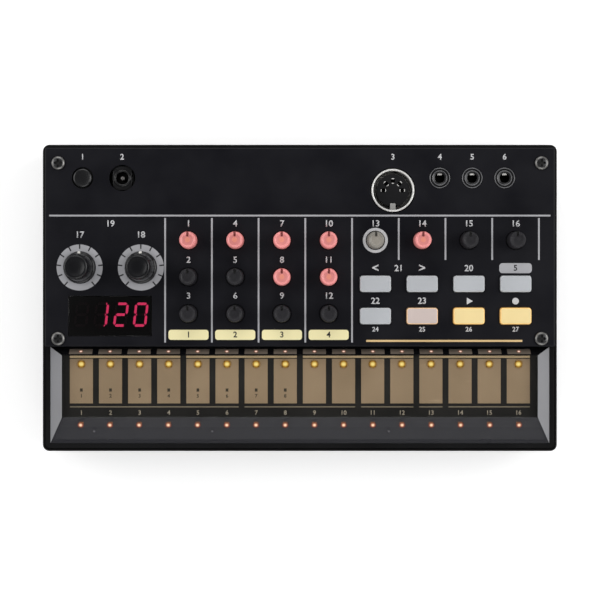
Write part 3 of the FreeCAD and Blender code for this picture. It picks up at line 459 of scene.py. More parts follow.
grid_x = column_x[: len(knob_grid)]
plates = [rounded_patch(x, yellow_y, yellow_width, label_plate_depth, plate_z, yellow_corner) for x in grid_x]
print_film(plates, "yellow_plates", plate_yellow, "panel_plastic")
x, y = middle("function_button")
grey_y = y + grey_plate_rise
grey_plate = rounded_patch(x, grey_y, grey_plate_width, label_plate_depth, plate_z, grey_plate_corner)
print_film([grey_plate], "grey_plate", grey_ink, "panel_plastic")
plate_spots = [(column, yellow_y) for column in grid_x] + [(x, grey_y)]
plate_numbers = []
for i, (x, y) in enumerate(plate_spots):
    plate_numbers.append(figure(str(i + 1), x, y, plate_number_height, plate_z + ink_film))
print_film(plate_numbers, "plate_numbers", black_ink, "panel_plastic", top_film)
gold_ink = ink("gold_ink", tone(216, 184, 132), 0.45, 0.1)
gold_left = column_x[4] - 3.4 * mm
gold_right = column_x[7] + 2.5 * mm
gold_y = plate_low.y + 2.1 * mm
gold_width = 0.75 * mm
gold = patch((gold_left + gold_right) / 2, gold_y, gold_right - gold_left, gold_width, plate_z)
print_film([gold], "gold_rule", gold_ink, "panel_plastic")

# Plate screws. Four black-nickel pan heads with a cross recess hold the plate down; their
# upward faces carry a painted highlight, and the recess, below a thin band at its edges, painted shade.
screw_nickel = surface("screw_nickel", tone(70, 70, 71), 0.35, grain=3000, relief=0.03, metal=0.9)
screw_painted_highlight = surface("screw_painted_highlight", tone(118, 117, 115), 0.35, grain=3000, relief=0.03, metal=0.9)
recess_painted_shade = surface("recess_painted_shade", tone(14, 14, 14), 0.6, grain=3000, relief=0.2)
screw_low, screw_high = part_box("panel_screws")


def draw_up(rise):
    """Extrudes the picked faces up, or down where the rise is negative."""
    bpy.ops.mesh.extrude_region_move(TRANSFORM_OT_translate={"value": (0, 0, rise)})


def turn_up(name, x, y, sides, *parts):
    """A piece of revolution: a frustum whose top face is drawn up ring by ring.

    Each part of its profile is a height, then radii and rises over that height in millimetres.
    """
    profile = [(radius * mm, base + rise * mm) for base, *points in parts for radius, rise in points]
    (r0, z0), (r1, z1) = profile[:2]
    bpy.ops.mesh.primitive_cone_add(
        vertices=sides, radius1=r0, radius2=r1, depth=z1 - z0, location=(x, y, (z0 + z1) / 2)
    )
    piece = settle(bpy.context.object)
    piece.name = name
    piece.data.name = name
    top = max(face.center.z for face in piece.data.polygons)
    pick(piece, "FACE", lambda face: face.normal.z > 0.9 and face.center.z > top - 1e-7)
    for (r_old, z_old), (r, z) in zip(profile[1:], profile[2:]):
        draw_up(z - z_old)
        bpy.ops.transform.resize(value=(r / r_old, r / r_old, 1), center_override=(x, y, z))
    close_edit()
    return piece


def cut_away(piece, tool):
    """Takes a tool's shape out of a piece."""
    only(piece)
    cut = piece.modifiers.new("cut", "BOOLEAN")
    cut.object = tool
    cut.operation = "DIFFERENCE"
    cut.solver = "EXACT"
    bpy.ops.object.modifier_apply(modifier="cut")
    bpy.data.objects.remove(tool)
    return piece


def brick(low, high, name="brick"):
    """A block between two corners, with its place in its mesh."""
    size = [b - a for a, b in zip(low, high)]
    centre = [(a + b) / 2 for a, b in zip(low, high)]
    bpy.ops.mesh.primitive_cube_add(size=1, location=centre)
    block = bpy.context.object
    block.scale = size
    block.name = name
    return settle(block)


def smooth(piece, degrees=35):
    """Shades a piece smooth, but for edges that are sharper than an angle."""
    only(piece)
    bpy.ops.object.shade_smooth_by_angle(angle=math.radians(degrees))


head_radius = 2.5 * mm
head_top = screw_high.z
recess_length = 2.9 * mm
recess_width = 0.8 * mm
recess_depth = 0.75 * mm
recess_reach = 1.6 * mm
screw_spots = [
    (x, y)
    for x in (screw_low.x + head_radius, screw_high.x - head_radius)
    for y in (screw_low.y + head_radius, screw_high.y - head_radius)
]
screws = []
for x, y in screw_spots:
    head = turn_up(
        "screw_head", x, y, 48,
        (screw_low.z, (1.3, 0)),
        (plate_z, (1.3, 0), (2.5, 0.02), (2.5, 0.55), (2.42, 0.72), (2.2, 0.86)),
        (head_top, (1.85, -0.16), (1.5, -0.04), (1.0, 0)),
    )
    for wide, deep in ((recess_length, recess_width), (recess_width, recess_length)):
        arm = brick(
            (x - wide / 2, y - deep / 2, head_top - recess_depth),
            (x + wide / 2, y + deep / 2, head_top + recess_depth),
        )
        cut_away(head, arm)
    screws.append(head)
panel_screws = merge(screws, "plate_screws")
smooth(panel_screws)
screw_others = (recess_painted_shade, screw_painted_highlight)
finish_piece(panel_screws, screw_nickel, "screw_black", "case", "panel_screws", others=screw_others)
# Painted shade in the recess below its edges, and a painted highlight on the head's upward faces.
for face in panel_screws.data.polygons:
    near = min(math.hypot(face.center.x - x, face.center.y - y) for x, y in screw_spots)
    if near < recess_reach and plate_z < face.center.z < head_top - 0.2 * mm:
        face.material_index = 1
    if near > recess_reach + 0.1 * mm and face.normal.z > 0.1:
        face.material_index = 2

# Large dials. Each is a tapered glossy black grip on a short skirt, pressed on a flatted
# steel shaft; a white pointer is moulded at its foot.
dial_gloss = surface(
    "dial_gloss", tone(15, 15, 18), 0.26, grain=1400, relief=0.03, spread=0.04, wear=0.06, specular=0.4
)
pointer_white = surface("pointer_white", tone(232, 230, 224), 0.4, grain=3000, relief=0.1, shade=0.05)


def soften(piece, offset, segments, chosen=lambda edge: True):
    """Rounds the edges of a piece that chosen names, or all of them."""
    pick(piece, "EDGE", chosen)
    bpy.ops.mesh.bevel(offset=offset, segments=segments)
    close_edit()
    return piece


pointer_half = 0.5 * mm
pointer_start = 4.6 * mm
pointer_end = 5.95 * mm
pointer_bottom = 0.9 * mm
pointer_top = 2.1 * mm
for dial_name in ("time_dial", "depth_dial"):
    low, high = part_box(dial_name)
    x, y = middle(dial_name)[0], dial_spots[0][1]
    foot = low.z
    grip = turn_up(
        dial_name + "_grip", x, y, 96,
        (foot, (5.7, 0), (5.9, 0.25), (5.9, 1.0), (5.7, 1.35), (5.35, 1.5), (5.2, 1.9)),
        (high.z, (4.6, -1.1), (4.42, -0.5), (4.1, -0.12), (3.7, 0)),
        (high.z, (3.3, -0.06), (2.6, -0.3), (1.2, -0.4)),
    )
    smooth(grip)
    finish_piece(grip, dial_gloss, "dial_black", dial_name, dial_name)
    pointer = brick(
        (x - pointer_half, y + pointer_start, foot + pointer_bottom),
        (x + pointer_half, y + pointer_end, foot + pointer_top),
        dial_name + "_pointer",
    )
    soften(pointer, 0.2 * mm, 3)
    smooth(pointer)
    finish_piece(pointer, pointer_white, "dial_black", dial_name)

# Small knobs. Sixteen one-piece knobs with shafts of their own plug into the small
# potentiometers; seven are clear pink with a painted glow, and each has a notch in its rim.
# The dark and pink dish finishes are painted shade, the pink core a painted highlight, and the notch finishes
# painted shade.
knob_dark = surface("knob_dark", tone(34, 33, 37), 0.5, grain=2400, relief=0.25, wear=0.06, specular=0.3)
knob_dark_dish_shade = surface("knob_dark_dish_shade", tone(29, 28, 32), 0.55, grain=2400, relief=0.25, specular=0.3)
knob_grey = surface("knob_grey", tone(140, 136, 128), 0.5, grain=2400, relief=0.25)
knob_grey_dish = surface("knob_grey_dish", tone(150, 144, 135), 0.5, grain=1200, relief=0.5, shade=0.2)
knob_pink = surface("knob_pink", tone(226, 142, 140), 0.35, grain=2400, relief=0.15)
knob_pink_dish_shade = surface("knob_pink_dish_shade", tone(208, 128, 124), 0.4, grain=1800, relief=0.3, shade=0.15)
knob_pink_core_highlight = surface("knob_pink_core_highlight", tone(218, 136, 116), 0.4, grain=1800, relief=0.2)
notch_black_shade = surface("notch_black_shade", tone(12, 11, 12), 0.6, grain=3000, relief=0.2)
notch_pink_shade = surface("notch_pink_shade", tone(170, 88, 86), 0.5, grain=3000, relief=0.2)
notch_grey_shade = surface("notch_grey_shade", tone(92, 88, 82), 0.6, grain=3000, relief=0.2)


def shader_of(material):
    """The main shader of a finish."""
    return material.node_tree.nodes["Principled BSDF"]


def light_up(material, colour, strength):
    """Lets a finish glow: the lit keys' lamps, and a painted glow on the pink knobs."""
    shader_of(material).inputs["Emission Color"].default_value = colour
    shader_of(material).inputs["Emission Strength"].default_value = strength


# Painted glow: the pink knobs have no lamp, yet rim, dish and centre each glow a little.
for material, strength in ((knob_pink, 0.12), (knob_pink_dish_shade, 0.05), (knob_pink_core_highlight, 0.08)):
    light_up(material, tone(255, 150, 145), strength)
pink_glow_knobs = [
    "kick_click_knob",
    "snare_snap_knob",
    "tom_high_pitch_knob",
    "tom_low_pitch_knob",
    "hat_closed_decay_knob",
    "hat_open_decay_knob",
    "tempo_knob",
]
first_knob = "kick_click_knob"
low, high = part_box(first_knob)
first_x, first_y = middle(first_knob)
notch_half = 0.45 * mm
notch_start = 1.2 * mm
notch_end = 4.25 * mm
notch_depth = 1.0 * mm
dish_reach = 2.2 * mm
core_reach = 0.9 * mm
model = turn_up(
    "knob_model", first_x, first_y, 64,
    (low.z, (1.5, 0)),
    (plate_z, (1.5, -1.5), (3.25, -1.45), (3.25, 0.4)),
    (high.z, (3.06, -0.7), (2.96, -0.32), (2.78, -0.08), (2.57, 0), (2.35, -0.03)),
    (high.z, (2.1, -0.26), (1.6, -0.36), (0.95, -0.38), (0.6, -0.32)),
)
notch = brick(
    (first_x - notch_half, first_y + notch_start, high.z - notch_depth),
    (first_x + notch_half, first_y + notch_end, high.z + 1 * mm),
)


def beside_middle(edge):
    """True for an edge at either side of the notch, not for one across it."""
    ends = [notch.data.vertices[i].co.x for i in edge.vertices]
    return abs(sum(ends) / 2 - first_x) > notch_half / 2


soften(notch, 0.15 * mm, 2, beside_middle)
cut_away(model, notch)
smooth(model)


def paint_knob(knob, x, y):
    """Gives dished top, centre and notch their own finishes, by place: painted shade in the notch and, on
    dark and pink knobs, in the dish, and a painted highlight at a pink knob's centre; the rest is the rim's.
    """
    near = 0.01 * mm
    top = max(point.co.z for point in knob.data.vertices)
    for face in knob.data.polygons:
        u, v = face.center.x - x, face.center.y - y
        reach = math.hypot(u, v)
        drop = top - face.center.z
        in_notch = abs(u) < notch_half + near and v > notch_start - near and drop < notch_depth + near
        if in_notch and (abs(face.normal.x) > 0.5 or drop > 0.6 * mm or reach < notch_start + 0.1 * mm):
            face.material_index = 3
        elif face.normal.z > 0.5 and drop < 0.5 * mm and reach < dish_reach:
            face.material_index = 2 if reach < core_reach else 1


def twin(piece, name):
    """A copy of a piece with a mesh of its own."""
    copied = piece.copy()
    copied.data = piece.data.copy()
    copied.name = name
    copied.data.name = name
    bpy.context.scene.collection.objects.link(copied)
    return copied


for name in all_knobs:
    x, y = middle(name)
    knob = twin(model, name + "_cap")
    knob.data.transform(Matrix.Translation((x - first_x, y - first_y, 0)))
    finishes, slot_name = (knob_dark, knob_dark_dish_shade, knob_dark_dish_shade, notch_black_shade), "knob_dark"
    if name in pink_glow_knobs:
        finishes, slot_name = (knob_pink, knob_pink_dish_shade, knob_pink_core_highlight, notch_pink_shade), "knob_pink"
    if name == "sample_speed_knob":
        finishes, slot_name = (knob_grey, knob_grey_dish, knob_grey_dish, notch_grey_shade), "knob_grey"
    finish_piece(knob, finishes[0], slot_name, name, name, others=finishes[1:])
    paint_knob(knob, x, y)
bpy.data.objects.remove(model)

# Push buttons. Eight soft rubber keys stand through rounded holes in the plate, each on a
# flange that stops it underneath; three are clear enough to glow when their lamp is on. Every
# key's sides carry a painted highlight, and on the three lit keys the sides also glow.


def rubber(name, colour, roughness=0.5, relief=0.2, shade=0.05):
    """Soft rubber with a fine matt grain."""
    return surface(name, colour, roughness, grain=2200, relief=relief, shade=shade)


# Each edge finish is a lighter copy of its rubber: a painted highlight on the key's sides.
key_grey = rubber("key_grey", tone(180, 183, 187), 0.55, 0.25)
key_grey_edge_highlight = rubber("key_grey_edge_highlight", tone(196, 199, 202))
key_cream = rubber("key_cream", tone(206, 190, 184), 0.5, 0.25, 0.06)
key_cream_edge_glow_and_highlight = rubber("key_cream_edge_glow_and_highlight", tone(240, 202, 164), shade=0.06)
key_amber = rubber("key_amber", tone(230, 211, 154), 0.5, 0.25)
key_amber_edge_glow_and_highlight = rubber("key_amber_edge_glow_and_highlight", tone(248, 206, 132))
for material, strength in ((key_cream_edge_glow_and_highlight, 0.12), (key_amber, 0.1), (key_amber_edge_glow_and_highlight, 0.25)):
    light_up(material, tone(255, 196, 110), strength)
flange_reach = 0.87 * mm
flange_top = plate_z - 1.8 * mm
flange_bottom = flange_top - 1.0 * mm


def above(mesh, edge, height):
    """True if both ends of an edge are above a height."""
    return all(mesh.vertices[i].co.z > height for i in edge.vertices)


def upright(mesh, edge):
    """True if an edge stands straight up."""
    a, b = [mesh.vertices[i].co for i in edge.vertices]
    return (a.xy - b.xy).length < 1e-7


def rubber_key(name, low, high):
    """A flange drawn up into a cap with rounded corners and a soft upper edge."""
    key = brick((low.x, low.y, flange_bottom), (high.x, high.y, flange_top), name)
    mesh = key.data
    pick(key, "FACE", lambda face: face.normal.z > 0.9)
    bpy.ops.mesh.inset(thickness=flange_reach)
    draw_up(high.z - flange_top)
    close_edit()
    hair = 0.001 * mm
    soften(key, 1.0 * mm, 5, lambda edge: upright(mesh, edge) and above(mesh, edge, flange_top - hair))
    soften(key, 0.5 * mm, 4, lambda edge: above(mesh, edge, high.z - hair))
    x, y = (low.x + high.x) / 2, (low.y + high.y) / 2
    stem = turn_up("stem", x, y, 32, (low.z, (1.3, 0), (1.5, 0.2)), (flange_bottom, (1.5, 0)))
    key = merge([key, stem], name)
    smooth(key, 40)
    return key


for row in button_rows:
    for name in row:
        low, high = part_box(name)
        key = rubber_key(name + "_cap", low, high)
        finishes, slot_name = (key_grey, key_grey_edge_highlight), "key_grey"
        if name == "step_mode_button":
            finishes, slot_name = (key_cream, key_cream_edge_glow_and_highlight), "key_cream"
        if name in ("play_button", "record_button"):
            finishes, slot_name = (key_amber, key_amber_edge_glow_and_highlight), "key_amber"
        finish_piece(key, finishes[0], slot_name, name, name, others=finishes[1:])
        # Painted highlight: every key's sides take the lighter edge finish.
        for face in key.data.polygons:
            if face.normal.z < 0.98 and face.center.z > plate_z - 0.5 * mm:
                face.material_index = 1

# Power button. A round black latching cap on the power switch's plunger, with a soft edge
# and a slightly dished top.
power_gloss = surface("power_gloss", tone(20, 20, 22), 0.3, grain=2000, relief=0.15)
low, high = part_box("power_button")
x, y = middle("power_button")
cap = turn_up(
    "power_cap", x, y, 64,
    (low.z, (1.5, 0)),
    (plate_z, (1.5, -3.0), (4.65, -2.95), (4.65, -1.85), (3.45, -1.8)),
    (high.z, (3.45, -0.5), (3.3, -0.15), (2.95, 0), (2.4, -0.12), (1.2, -0.2)),
)
smooth(cap)
finish_piece(cap, power_gloss, "power_black", "power_button", "power_button")

# Supply jack. A square black body on the socket board, with a round nose, a deep bore and
# a plated centre pin, seen through a round hole in the plate.
socket_gloss = surface("socket_gloss", tone(16, 16, 18), 0.3, grain=1800, relief=0.03, spread=0.04)
socket_steel = surface(
    "socket_steel", tone(228, 227, 224), 0.35, grain=3500, relief=0.15, shade=0.05, metal=0.35
)
low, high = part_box("dc_jack")
x, y = middle("dc_jack")
body_top = high.z - 0.5 * mm
lower_top = high.z - 2.6 * mm
neck_half_x = 3.65 * mm
neck_half_y = 4.6 * mm
supply_bore_radius = 2.4 * mm
supply_bore_depth = 9.5 * mm


def bore(piece, x, y, radius, top, depth, sides):
    """Drills a round hole down into a piece."""
    bpy.ops.mesh.primitive_cylinder_add(
        vertices=sides, radius=radius, depth=depth, location=(x, y, top - depth / 2)
    )
    return cut_away(piece, settle(bpy.context.object))


supply_parts = [
    brick(low, (high.x, high.y, lower_top), "body"),
    brick(
        (x - neck_half_x, y - neck_half_y, lower_top - 0.1 * mm),
        (x + neck_half_x, y + neck_half_y, body_top),
        "neck",
    ),
]
for part in supply_parts:
    soften(part, 0.25 * mm, 3)
    bore(part, x, y, supply_bore_radius, high.z, supply_bore_depth, 64)
nose = turn_up(
    "supply_nose", x, y, 64,
    (high.z, (2.39, -9.48)),
    (body_top, (2.39, -0.1), (3.3, -0.08)),
    (high.z, (3.2, -0.25), (3.0, -0.05), (2.8, 0), (2.6, 0)),
    (high.z, (2.42, -0.1), (2.35, -0.3), (2.35, -9.4)),
)
supply_jack = merge(supply_parts + [nose], "supply_jack")
smooth(supply_jack)
finish_piece(supply_jack, socket_gloss, "socket_black", "case", "dc_jack")
supply_pin = turn_up(
    "supply_pin", x, y, 32,
    (high.z, (0.8, -9.4), (0.8, -1.5), (0.62, -1.1), (0.4, -0.98), (0.2, -0.95)),
)
smooth(supply_pin)
pin_steel = surface("pin_steel", tone(104, 102, 100), 0.4, grain=3500, relief=0.1, shade=0.08, metal=0.4)
finish_piece(supply_pin, pin_steel, "socket_metal", "case")

# Data socket. A drawn metal sleeve with a rolled rim stands round a black insert with five
# split contact sleeves in an arc; a key stands at the front, inside the rim. The sleeves are cut
# down to bright bits at their inner and outer ends, a painted highlight for the glints there.
dress(socket_gloss, "midi_socket")
low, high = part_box("midi_shield")
x, y = middle("midi_shield")
sleeve = turn_up(
    "data_sleeve", x, y, 96,
    (low.z, (8.1, 0)),
    (high.z, (8.1, -1.2), (7.98, -0.8), (7.98, -0.3), (7.9, -0.1), (7.74, 0)),
    (high.z, (7.56, 0), (7.38, -0.1), (7.3, -0.35)),
    (low.z, (7.3, 0.3)),
)
key_half = 1.0 * mm
key_foot = y - 7.4 * mm
key_face = y - 4.4 * mm
data_key = brick(
    (x - key_half, key_foot, low.z + 0.2 * mm), (x + key_half, key_face, high.z - 0.6 * mm), "data_key"
)


def on_key_face(edge):
    """True for an edge of the key's face, towards the socket's middle."""
    return all(data_key.data.vertices[i].co.y > key_face - 0.01 * mm for i in edge.vertices)


soften(data_key, 0.7 * mm, 4, on_key_face)
smooth(sleeve)
finish_piece(sleeve, socket_steel, "socket_metal", "case", "midi_shield")
smooth(data_key)
key_steel = surface("key_steel", tone(150, 149, 147), 0.45, grain=900, relief=0.6, shade=0.25)
finish_piece(data_key, key_steel, "socket_metal", "case")
contacts = []
contact_count = 5
contact_circle = 3.5 * mm
contact_outer = 1.0 * mm
contact_inner = 0.76 * mm
contact_top = high.z - 0.6 * mm
contact_depth = 2.0 * mm
glint_share = 0.92
for i in range(contact_count):
    angle = math.pi * i / (contact_count - 1)
    outward = Vector((math.cos(angle), math.sin(angle), 0))
    centre = Vector((x, y, contact_top)) + contact_circle * outward
    ring = annulus(centre.x, centre.y, contact_outer, contact_inner, contact_top, 24)
    # Keeps only the bits at each sleeve's inner and outer ends: bright metal as painted glints.
    pick(ring, "FACE", lambda face: abs((face.center - centre).normalized().dot(outward)) < glint_share)
    bpy.ops.mesh.delete(type="FACE")
    close_edit()
    pick(ring, "FACE", lambda face: True)
    draw_up(-contact_depth)
    close_edit()
    contacts.append(ring)
data_contact_glints = merge(contacts, "data_contact_glints")
pick(data_contact_glints, "FACE", lambda face: True)
bpy.ops.mesh.normals_make_consistent(inside=False)
close_edit()
finish_piece(data_contact_glints, socket_steel, "socket_metal", "case")

# Audio jacks. Three black bodies on the socket board with round noses that stand in the
# plate's holes: a rolled outer rim, a raised inner ring, and a bore with a plated leaf. The
# rims' crests carry a painted highlight, and the leaf's top face a painted glint.
low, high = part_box("audio_jacks")
leaf_painted_glint = surface("leaf_painted_glint", tone(214, 212, 208), 0.35, grain=3000, relief=0.05)
jacks = []
nose_base = high.z - 2.0 * mm
jack_bore_radius = 1.85 * mm
jack_bore_depth = 14.0 * mm
leaf_top = high.z - 0.9 * mm
for x in jack_x:
    body = brick((x - jack_half, low.y, low.z), (x + jack_half, high.y, nose_base), "jack_body")
    soften(body, 0.3 * mm, 2)
    bore(body, x, jack_y, jack_bore_radius, high.z - 0.5 * mm, jack_bore_depth, 40)
    nose = turn_up(
        "jack_nose", x, jack_y, 64,
        (high.z, (1.84, -14.48)),
        (nose_base, (1.84, -0.1), (3.85, -0.08)),
        (high.z, (3.85, -0.3), (3.8, -0.08), (3.66, 0), (3.5, -0.08), (3.4, -0.5)),
        (high.z, (2.9, -0.52), (2.82, -0.2), (2.68, -0.1), (2.5, -0.2), (1.85, -0.34)),
        (high.z, (1.8, -0.5), (1.8, -4.0), (1.8, -14.4)),
    )
    leaf = brick(
        (x - 0.85 * mm, jack_y + 1.1 * mm, leaf_top - 0.3 * mm),
        (x + 0.85 * mm, jack_y + 1.9 * mm, leaf_top),
        "leaf",
    )
    jacks += [body, nose, leaf]
audio_jacks = merge(jacks, "audio_jack_row")
smooth(audio_jacks)
rim_painted_highlight = surface("rim_painted_highlight", tone(92, 92, 95), 0.3, grain=2500, relief=0.1)
jack_others = (leaf_painted_glint, rim_painted_highlight)
finish_piece(audio_jacks, socket_gloss, "socket_black", "case", "audio_jacks", others=jack_others)
# Painted glint on each leaf's top face, and painted highlight on the rims' crests.
for face in audio_jacks.data.polygons:
    reach = min(math.hypot(face.center.x - x, face.center.y - jack_y) for x in jack_x)
    on_leaf_glint = reach < 1.92 * mm and abs(face.center.z - leaf_top) < 0.05 * mm
    if on_leaf_glint and face.normal.z > 0.9:
        face.material_index = 1
    if face.center.z > high.z - 0.19 * mm:
        face.material_index = 2

# Display. Four red seven-bar digits sit under a dark smoke lens; the lit bars show a plain
# number, and the unlit bars are just seen.


def mix_through(material, first, second):
    """Shows a mix of two shaders on a material, and returns the socket for the second's share."""
    tree, links = material.node_tree.nodes, material.node_tree.links
    both = tree.new("ShaderNodeMixShader")
    links.new(first, both.inputs[1])
    links.new(second, both.inputs[2])
    links.new(both.outputs["Shader"], tree["Material Output"].inputs["Surface"])
    return both.inputs["Fac"]


def smoke(name, tint, gloss):
    """Clear tinted plastic: it lets light through with a tint and mirrors by its angle."""
    film_scale = 90
    least_mirror = 0.04
    material, tree, links = new_material(name)
    tree.remove(tree["Principled BSDF"])
    film = noise(material, tree.new("ShaderNodeTexCoord").outputs["Object"], film_scale, 4)
    clear = tree.new("ShaderNodeBsdfTransparent")
    clear.inputs["Color"].default_value = tint
    mirror = tree.new("ShaderNodeBsdfGlossy")
    links.new(ranged(material, film, 0.3, 0.7, gloss, gloss + 0.08), mirror.inputs["Roughness"])
    angle = tree.new("ShaderNodeLayerWeight")
    angle.inputs["Blend"].default_value = 0.5
    steep = tree.new("ShaderNodeMath")
    steep.operation = "POWER"
    steep.inputs[1].default_value = 5.0
    links.new(angle.outputs["Facing"], steep.inputs[0])
    share = ranged(material, steep.outputs["Value"], 0.0, 1.0, least_mirror)
    links.new(share, mix_through(material, clear.outputs["BSDF"], mirror.outputs["BSDF"]))
    return material


lens_smoke = smoke("lens_smoke", tone(150, 136, 142), 0.06)
low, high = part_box("display_window")
lens = brick(low, high, "display_lens")
soften(lens, 0.25 * mm, 3, lambda edge: above(lens.data, edge, high.z - 0.001 * mm))
smooth(lens)
finish_piece(lens, lens_smoke, "display_lens", "case", "display_window")

bar_lit = surface("bar_lit", tone(230, 70, 110), 0.5, grain=2500, relief=0.1)
light_up(bar_lit, tone(255, 80, 130), 6.5)
bar_dim = surface("bar_dim", tone(140, 132, 130), 0.6, grain=2500, relief=0.1)
bars = twin(nodes["display_segments"], "digit_bars")
bars.parent = None
for tag in [tag for tag in bars.keys() if tag.startswith("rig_")]:
    del bars[tag]
pick(bars, "VERT", lambda point: True)
bpy.ops.mesh.remove_doubles(threshold=0.001 * mm)
close_edit()
finish_piece(bars, bar_dim, "display_light", "case", "display_segments", others=(bar_lit,))
row_x, row_middle = middle("display_segments")
digit_count = 4
digit_pitch = 7.35 * mm
digit_slant = 0.12
level_bar_reach = 1.7 * mm
level_bar_rise = 2.0 * mm
shown = ["", "bc", "abged", "abcdef"]


def digit_of(point):
    """Which digit a point of the row is in, with its place across the digit and up it."""
    v = point.y - row_middle
    along = point.x - row_x - digit_slant * v
    digit = min(digit_count - 1, max(0, int(along / digit_pitch + digit_count / 2)))
    return digit, along - digit_pitch * (digit - (digit_count - 1) / 2), v


def bar_letter(u, v):
    """Which of a digit's seven bars a place in the digit is on."""
    if abs(u) < level_bar_reach:
        return "a" if v > level_bar_rise else "d" if v < -level_bar_rise else "g"
    if u > 0:
        return "b" if v > 0 else "c"
    return "f" if v > 0 else "e"


for face in bars.data.polygons:
    digit, u, v = digit_of(face.center)
    face.material_index = 1 if bar_letter(u, v) in shown[digit] else 0
digit_squeeze = 0.87
digit_shrink = 0.95
digit_shift = (0.2 * mm, 0.5 * mm)
for point in bars.data.vertices:
    digit, u, v = digit_of(point.co)
    centre = row_x + digit_pitch * (digit - (digit_count - 1) / 2)
    point.co.x = centre + digit_squeeze * (point.co.x - centre) + digit_shift[0]
    point.co.y = row_middle + digit_shrink * v + digit_shift[1]

# Touch strip's board. A black-masked board carries sixteen gold-plated touch pads with a
# lamp in each, four bars over the groups of four, and fine printed lines and numbers.
mask_black = surface("mask_black", tone(13, 12, 11), 0.4, grain=1600, relief=0.15, shade=0.2)
dress(mask_black, "touch_board")
pad_gold = surface("pad_gold", tone(168, 147, 120), 0.4, grain=2600, relief=0.2, shade=0.08, wear=0.2)
dress(pad_gold, "touch_pads")
board_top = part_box("touch_board")[1].z
pads_low, pads_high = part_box("touch_pads")
lamps_low, lamps_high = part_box("step_leds")
pad_count = 16
group_size = 4
marked_pads = 8
lamp_size = 1.6 * mm
pad_pitch = (lamps_high.x - lamps_low.x - lamp_size) / (pad_count - 1)
pad_x = [pad_pitch * (i - (pad_count - 1) / 2) for i in range(pad_count)]
pad_half = pads_high.x - pad_x[-1]
pad_top = pads_high.z
line_y = pads_low.y - 1.3 * mm
line_width = 0.4 * mm
line_spans = ((0, 5), (6, 9), (10, 11), (12, 12), (13, 15))
number_y = pads_low.y - 3.55 * mm
number_height = 1.6 * mm
bar_width = 0.8 * mm
mark_y = pads_low.y + 5.0 * mm
mark_width = 1.0 * mm
mark_depth = 1.2 * mm
pad_number_y = pads_low.y + 2.75 * mm
pad_number_height = 1.3 * mm


def pad_strip(first, last, y, width, z):
    """A printed strip that runs from one pad's left side to another's right side."""
    left, right = pad_x[first] - pad_half, pad_x[last] + pad_half
    return patch((left + right) / 2, y, right - left, width, z)


board_ink = ink("board_ink", tone(140, 130, 112), shade=0.08)
number_ink = ink("number_ink", tone(184, 176, 160), shade=0.08)
lines = [pad_strip(first, last, line_y, line_width, board_top) for first, last in line_spans]
print_film(lines, "board_lines", board_ink, "touch_mask")
numbers = [figure(str(i + 1), x, number_y, number_height, board_top) for i, x in enumerate(pad_x)]
print_film(numbers, "board_numbers", number_ink, "touch_mask")
# A lighter gold film over the four bars: a painted highlight that lifts them out of the cover's shade.
bar_gold_highlight = surface("bar_gold_highlight", tone(228, 204, 164), 0.4, grain=2600, relief=0.1, shade=0.06)
bar_y = pads_high.y - bar_width / 2
firsts = range(0, pad_count, group_size)
group_bar_highlight = [pad_strip(first, first + group_size - 1, bar_y, bar_width, pad_top) for first in firsts]
print_film(group_bar_highlight, "group_bar_highlight", bar_gold_highlight, "touch_mask", top_film)
pad_marks = []
for i, x in enumerate(pad_x[:marked_pads]):
    pad_marks.append(patch(x, mark_y, mark_width, mark_depth, pad_top))
    pad_marks.append(figure(str(i + 1), x, pad_number_y, pad_number_height, pad_top))
pad_ink = ink("pad_ink", tone(60, 52, 40))
print_film(pad_marks, "pad_marks", pad_ink, "touch_mask", top_film)

# Step lamps. Thirty-two warm chip lamps light the strip, one in each pad and one under the
# front bevel; the bloom of each in the clear cover is a disc that fades to its rim.
lamp_warm = surface("lamp_warm", tone(190, 140, 70), 0.4, grain=2500, relief=0.1)
dress(lamp_warm, "step_leds")
lamp_tree, lamp_links = lamp_warm.node_tree.nodes, lamp_warm.node_tree.links
split = lamp_tree.new("ShaderNodeSeparateXYZ")
lamp_links.new(lamp_tree.new("ShaderNodeTexCoord").outputs["Object"], split.inputs["Vector"])
in_rear_row = ranged(lamp_warm, split.outputs["Y"], pads_low.y - 1 * mm, pads_low.y)
lamp_hue = lamp_tree.new("ShaderNodeValToRGB")
lamp_hue.color_ramp.elements[0].color = tone(110, 52, 26)
lamp_hue.color_ramp.elements[1].color = tone(255, 232, 150)
lamp_links.new(in_rear_row, lamp_hue.inputs["Fac"])
lamp_links.new(lamp_hue.outputs["Color"], shader_of(lamp_warm).inputs["Emission Color"])
lamp_power = ranged(lamp_warm, in_rear_row, 0.0, 1.0, 1.0, 4.0)
lamp_links.new(lamp_power, shader_of(lamp_warm).inputs["Emission Strength"])


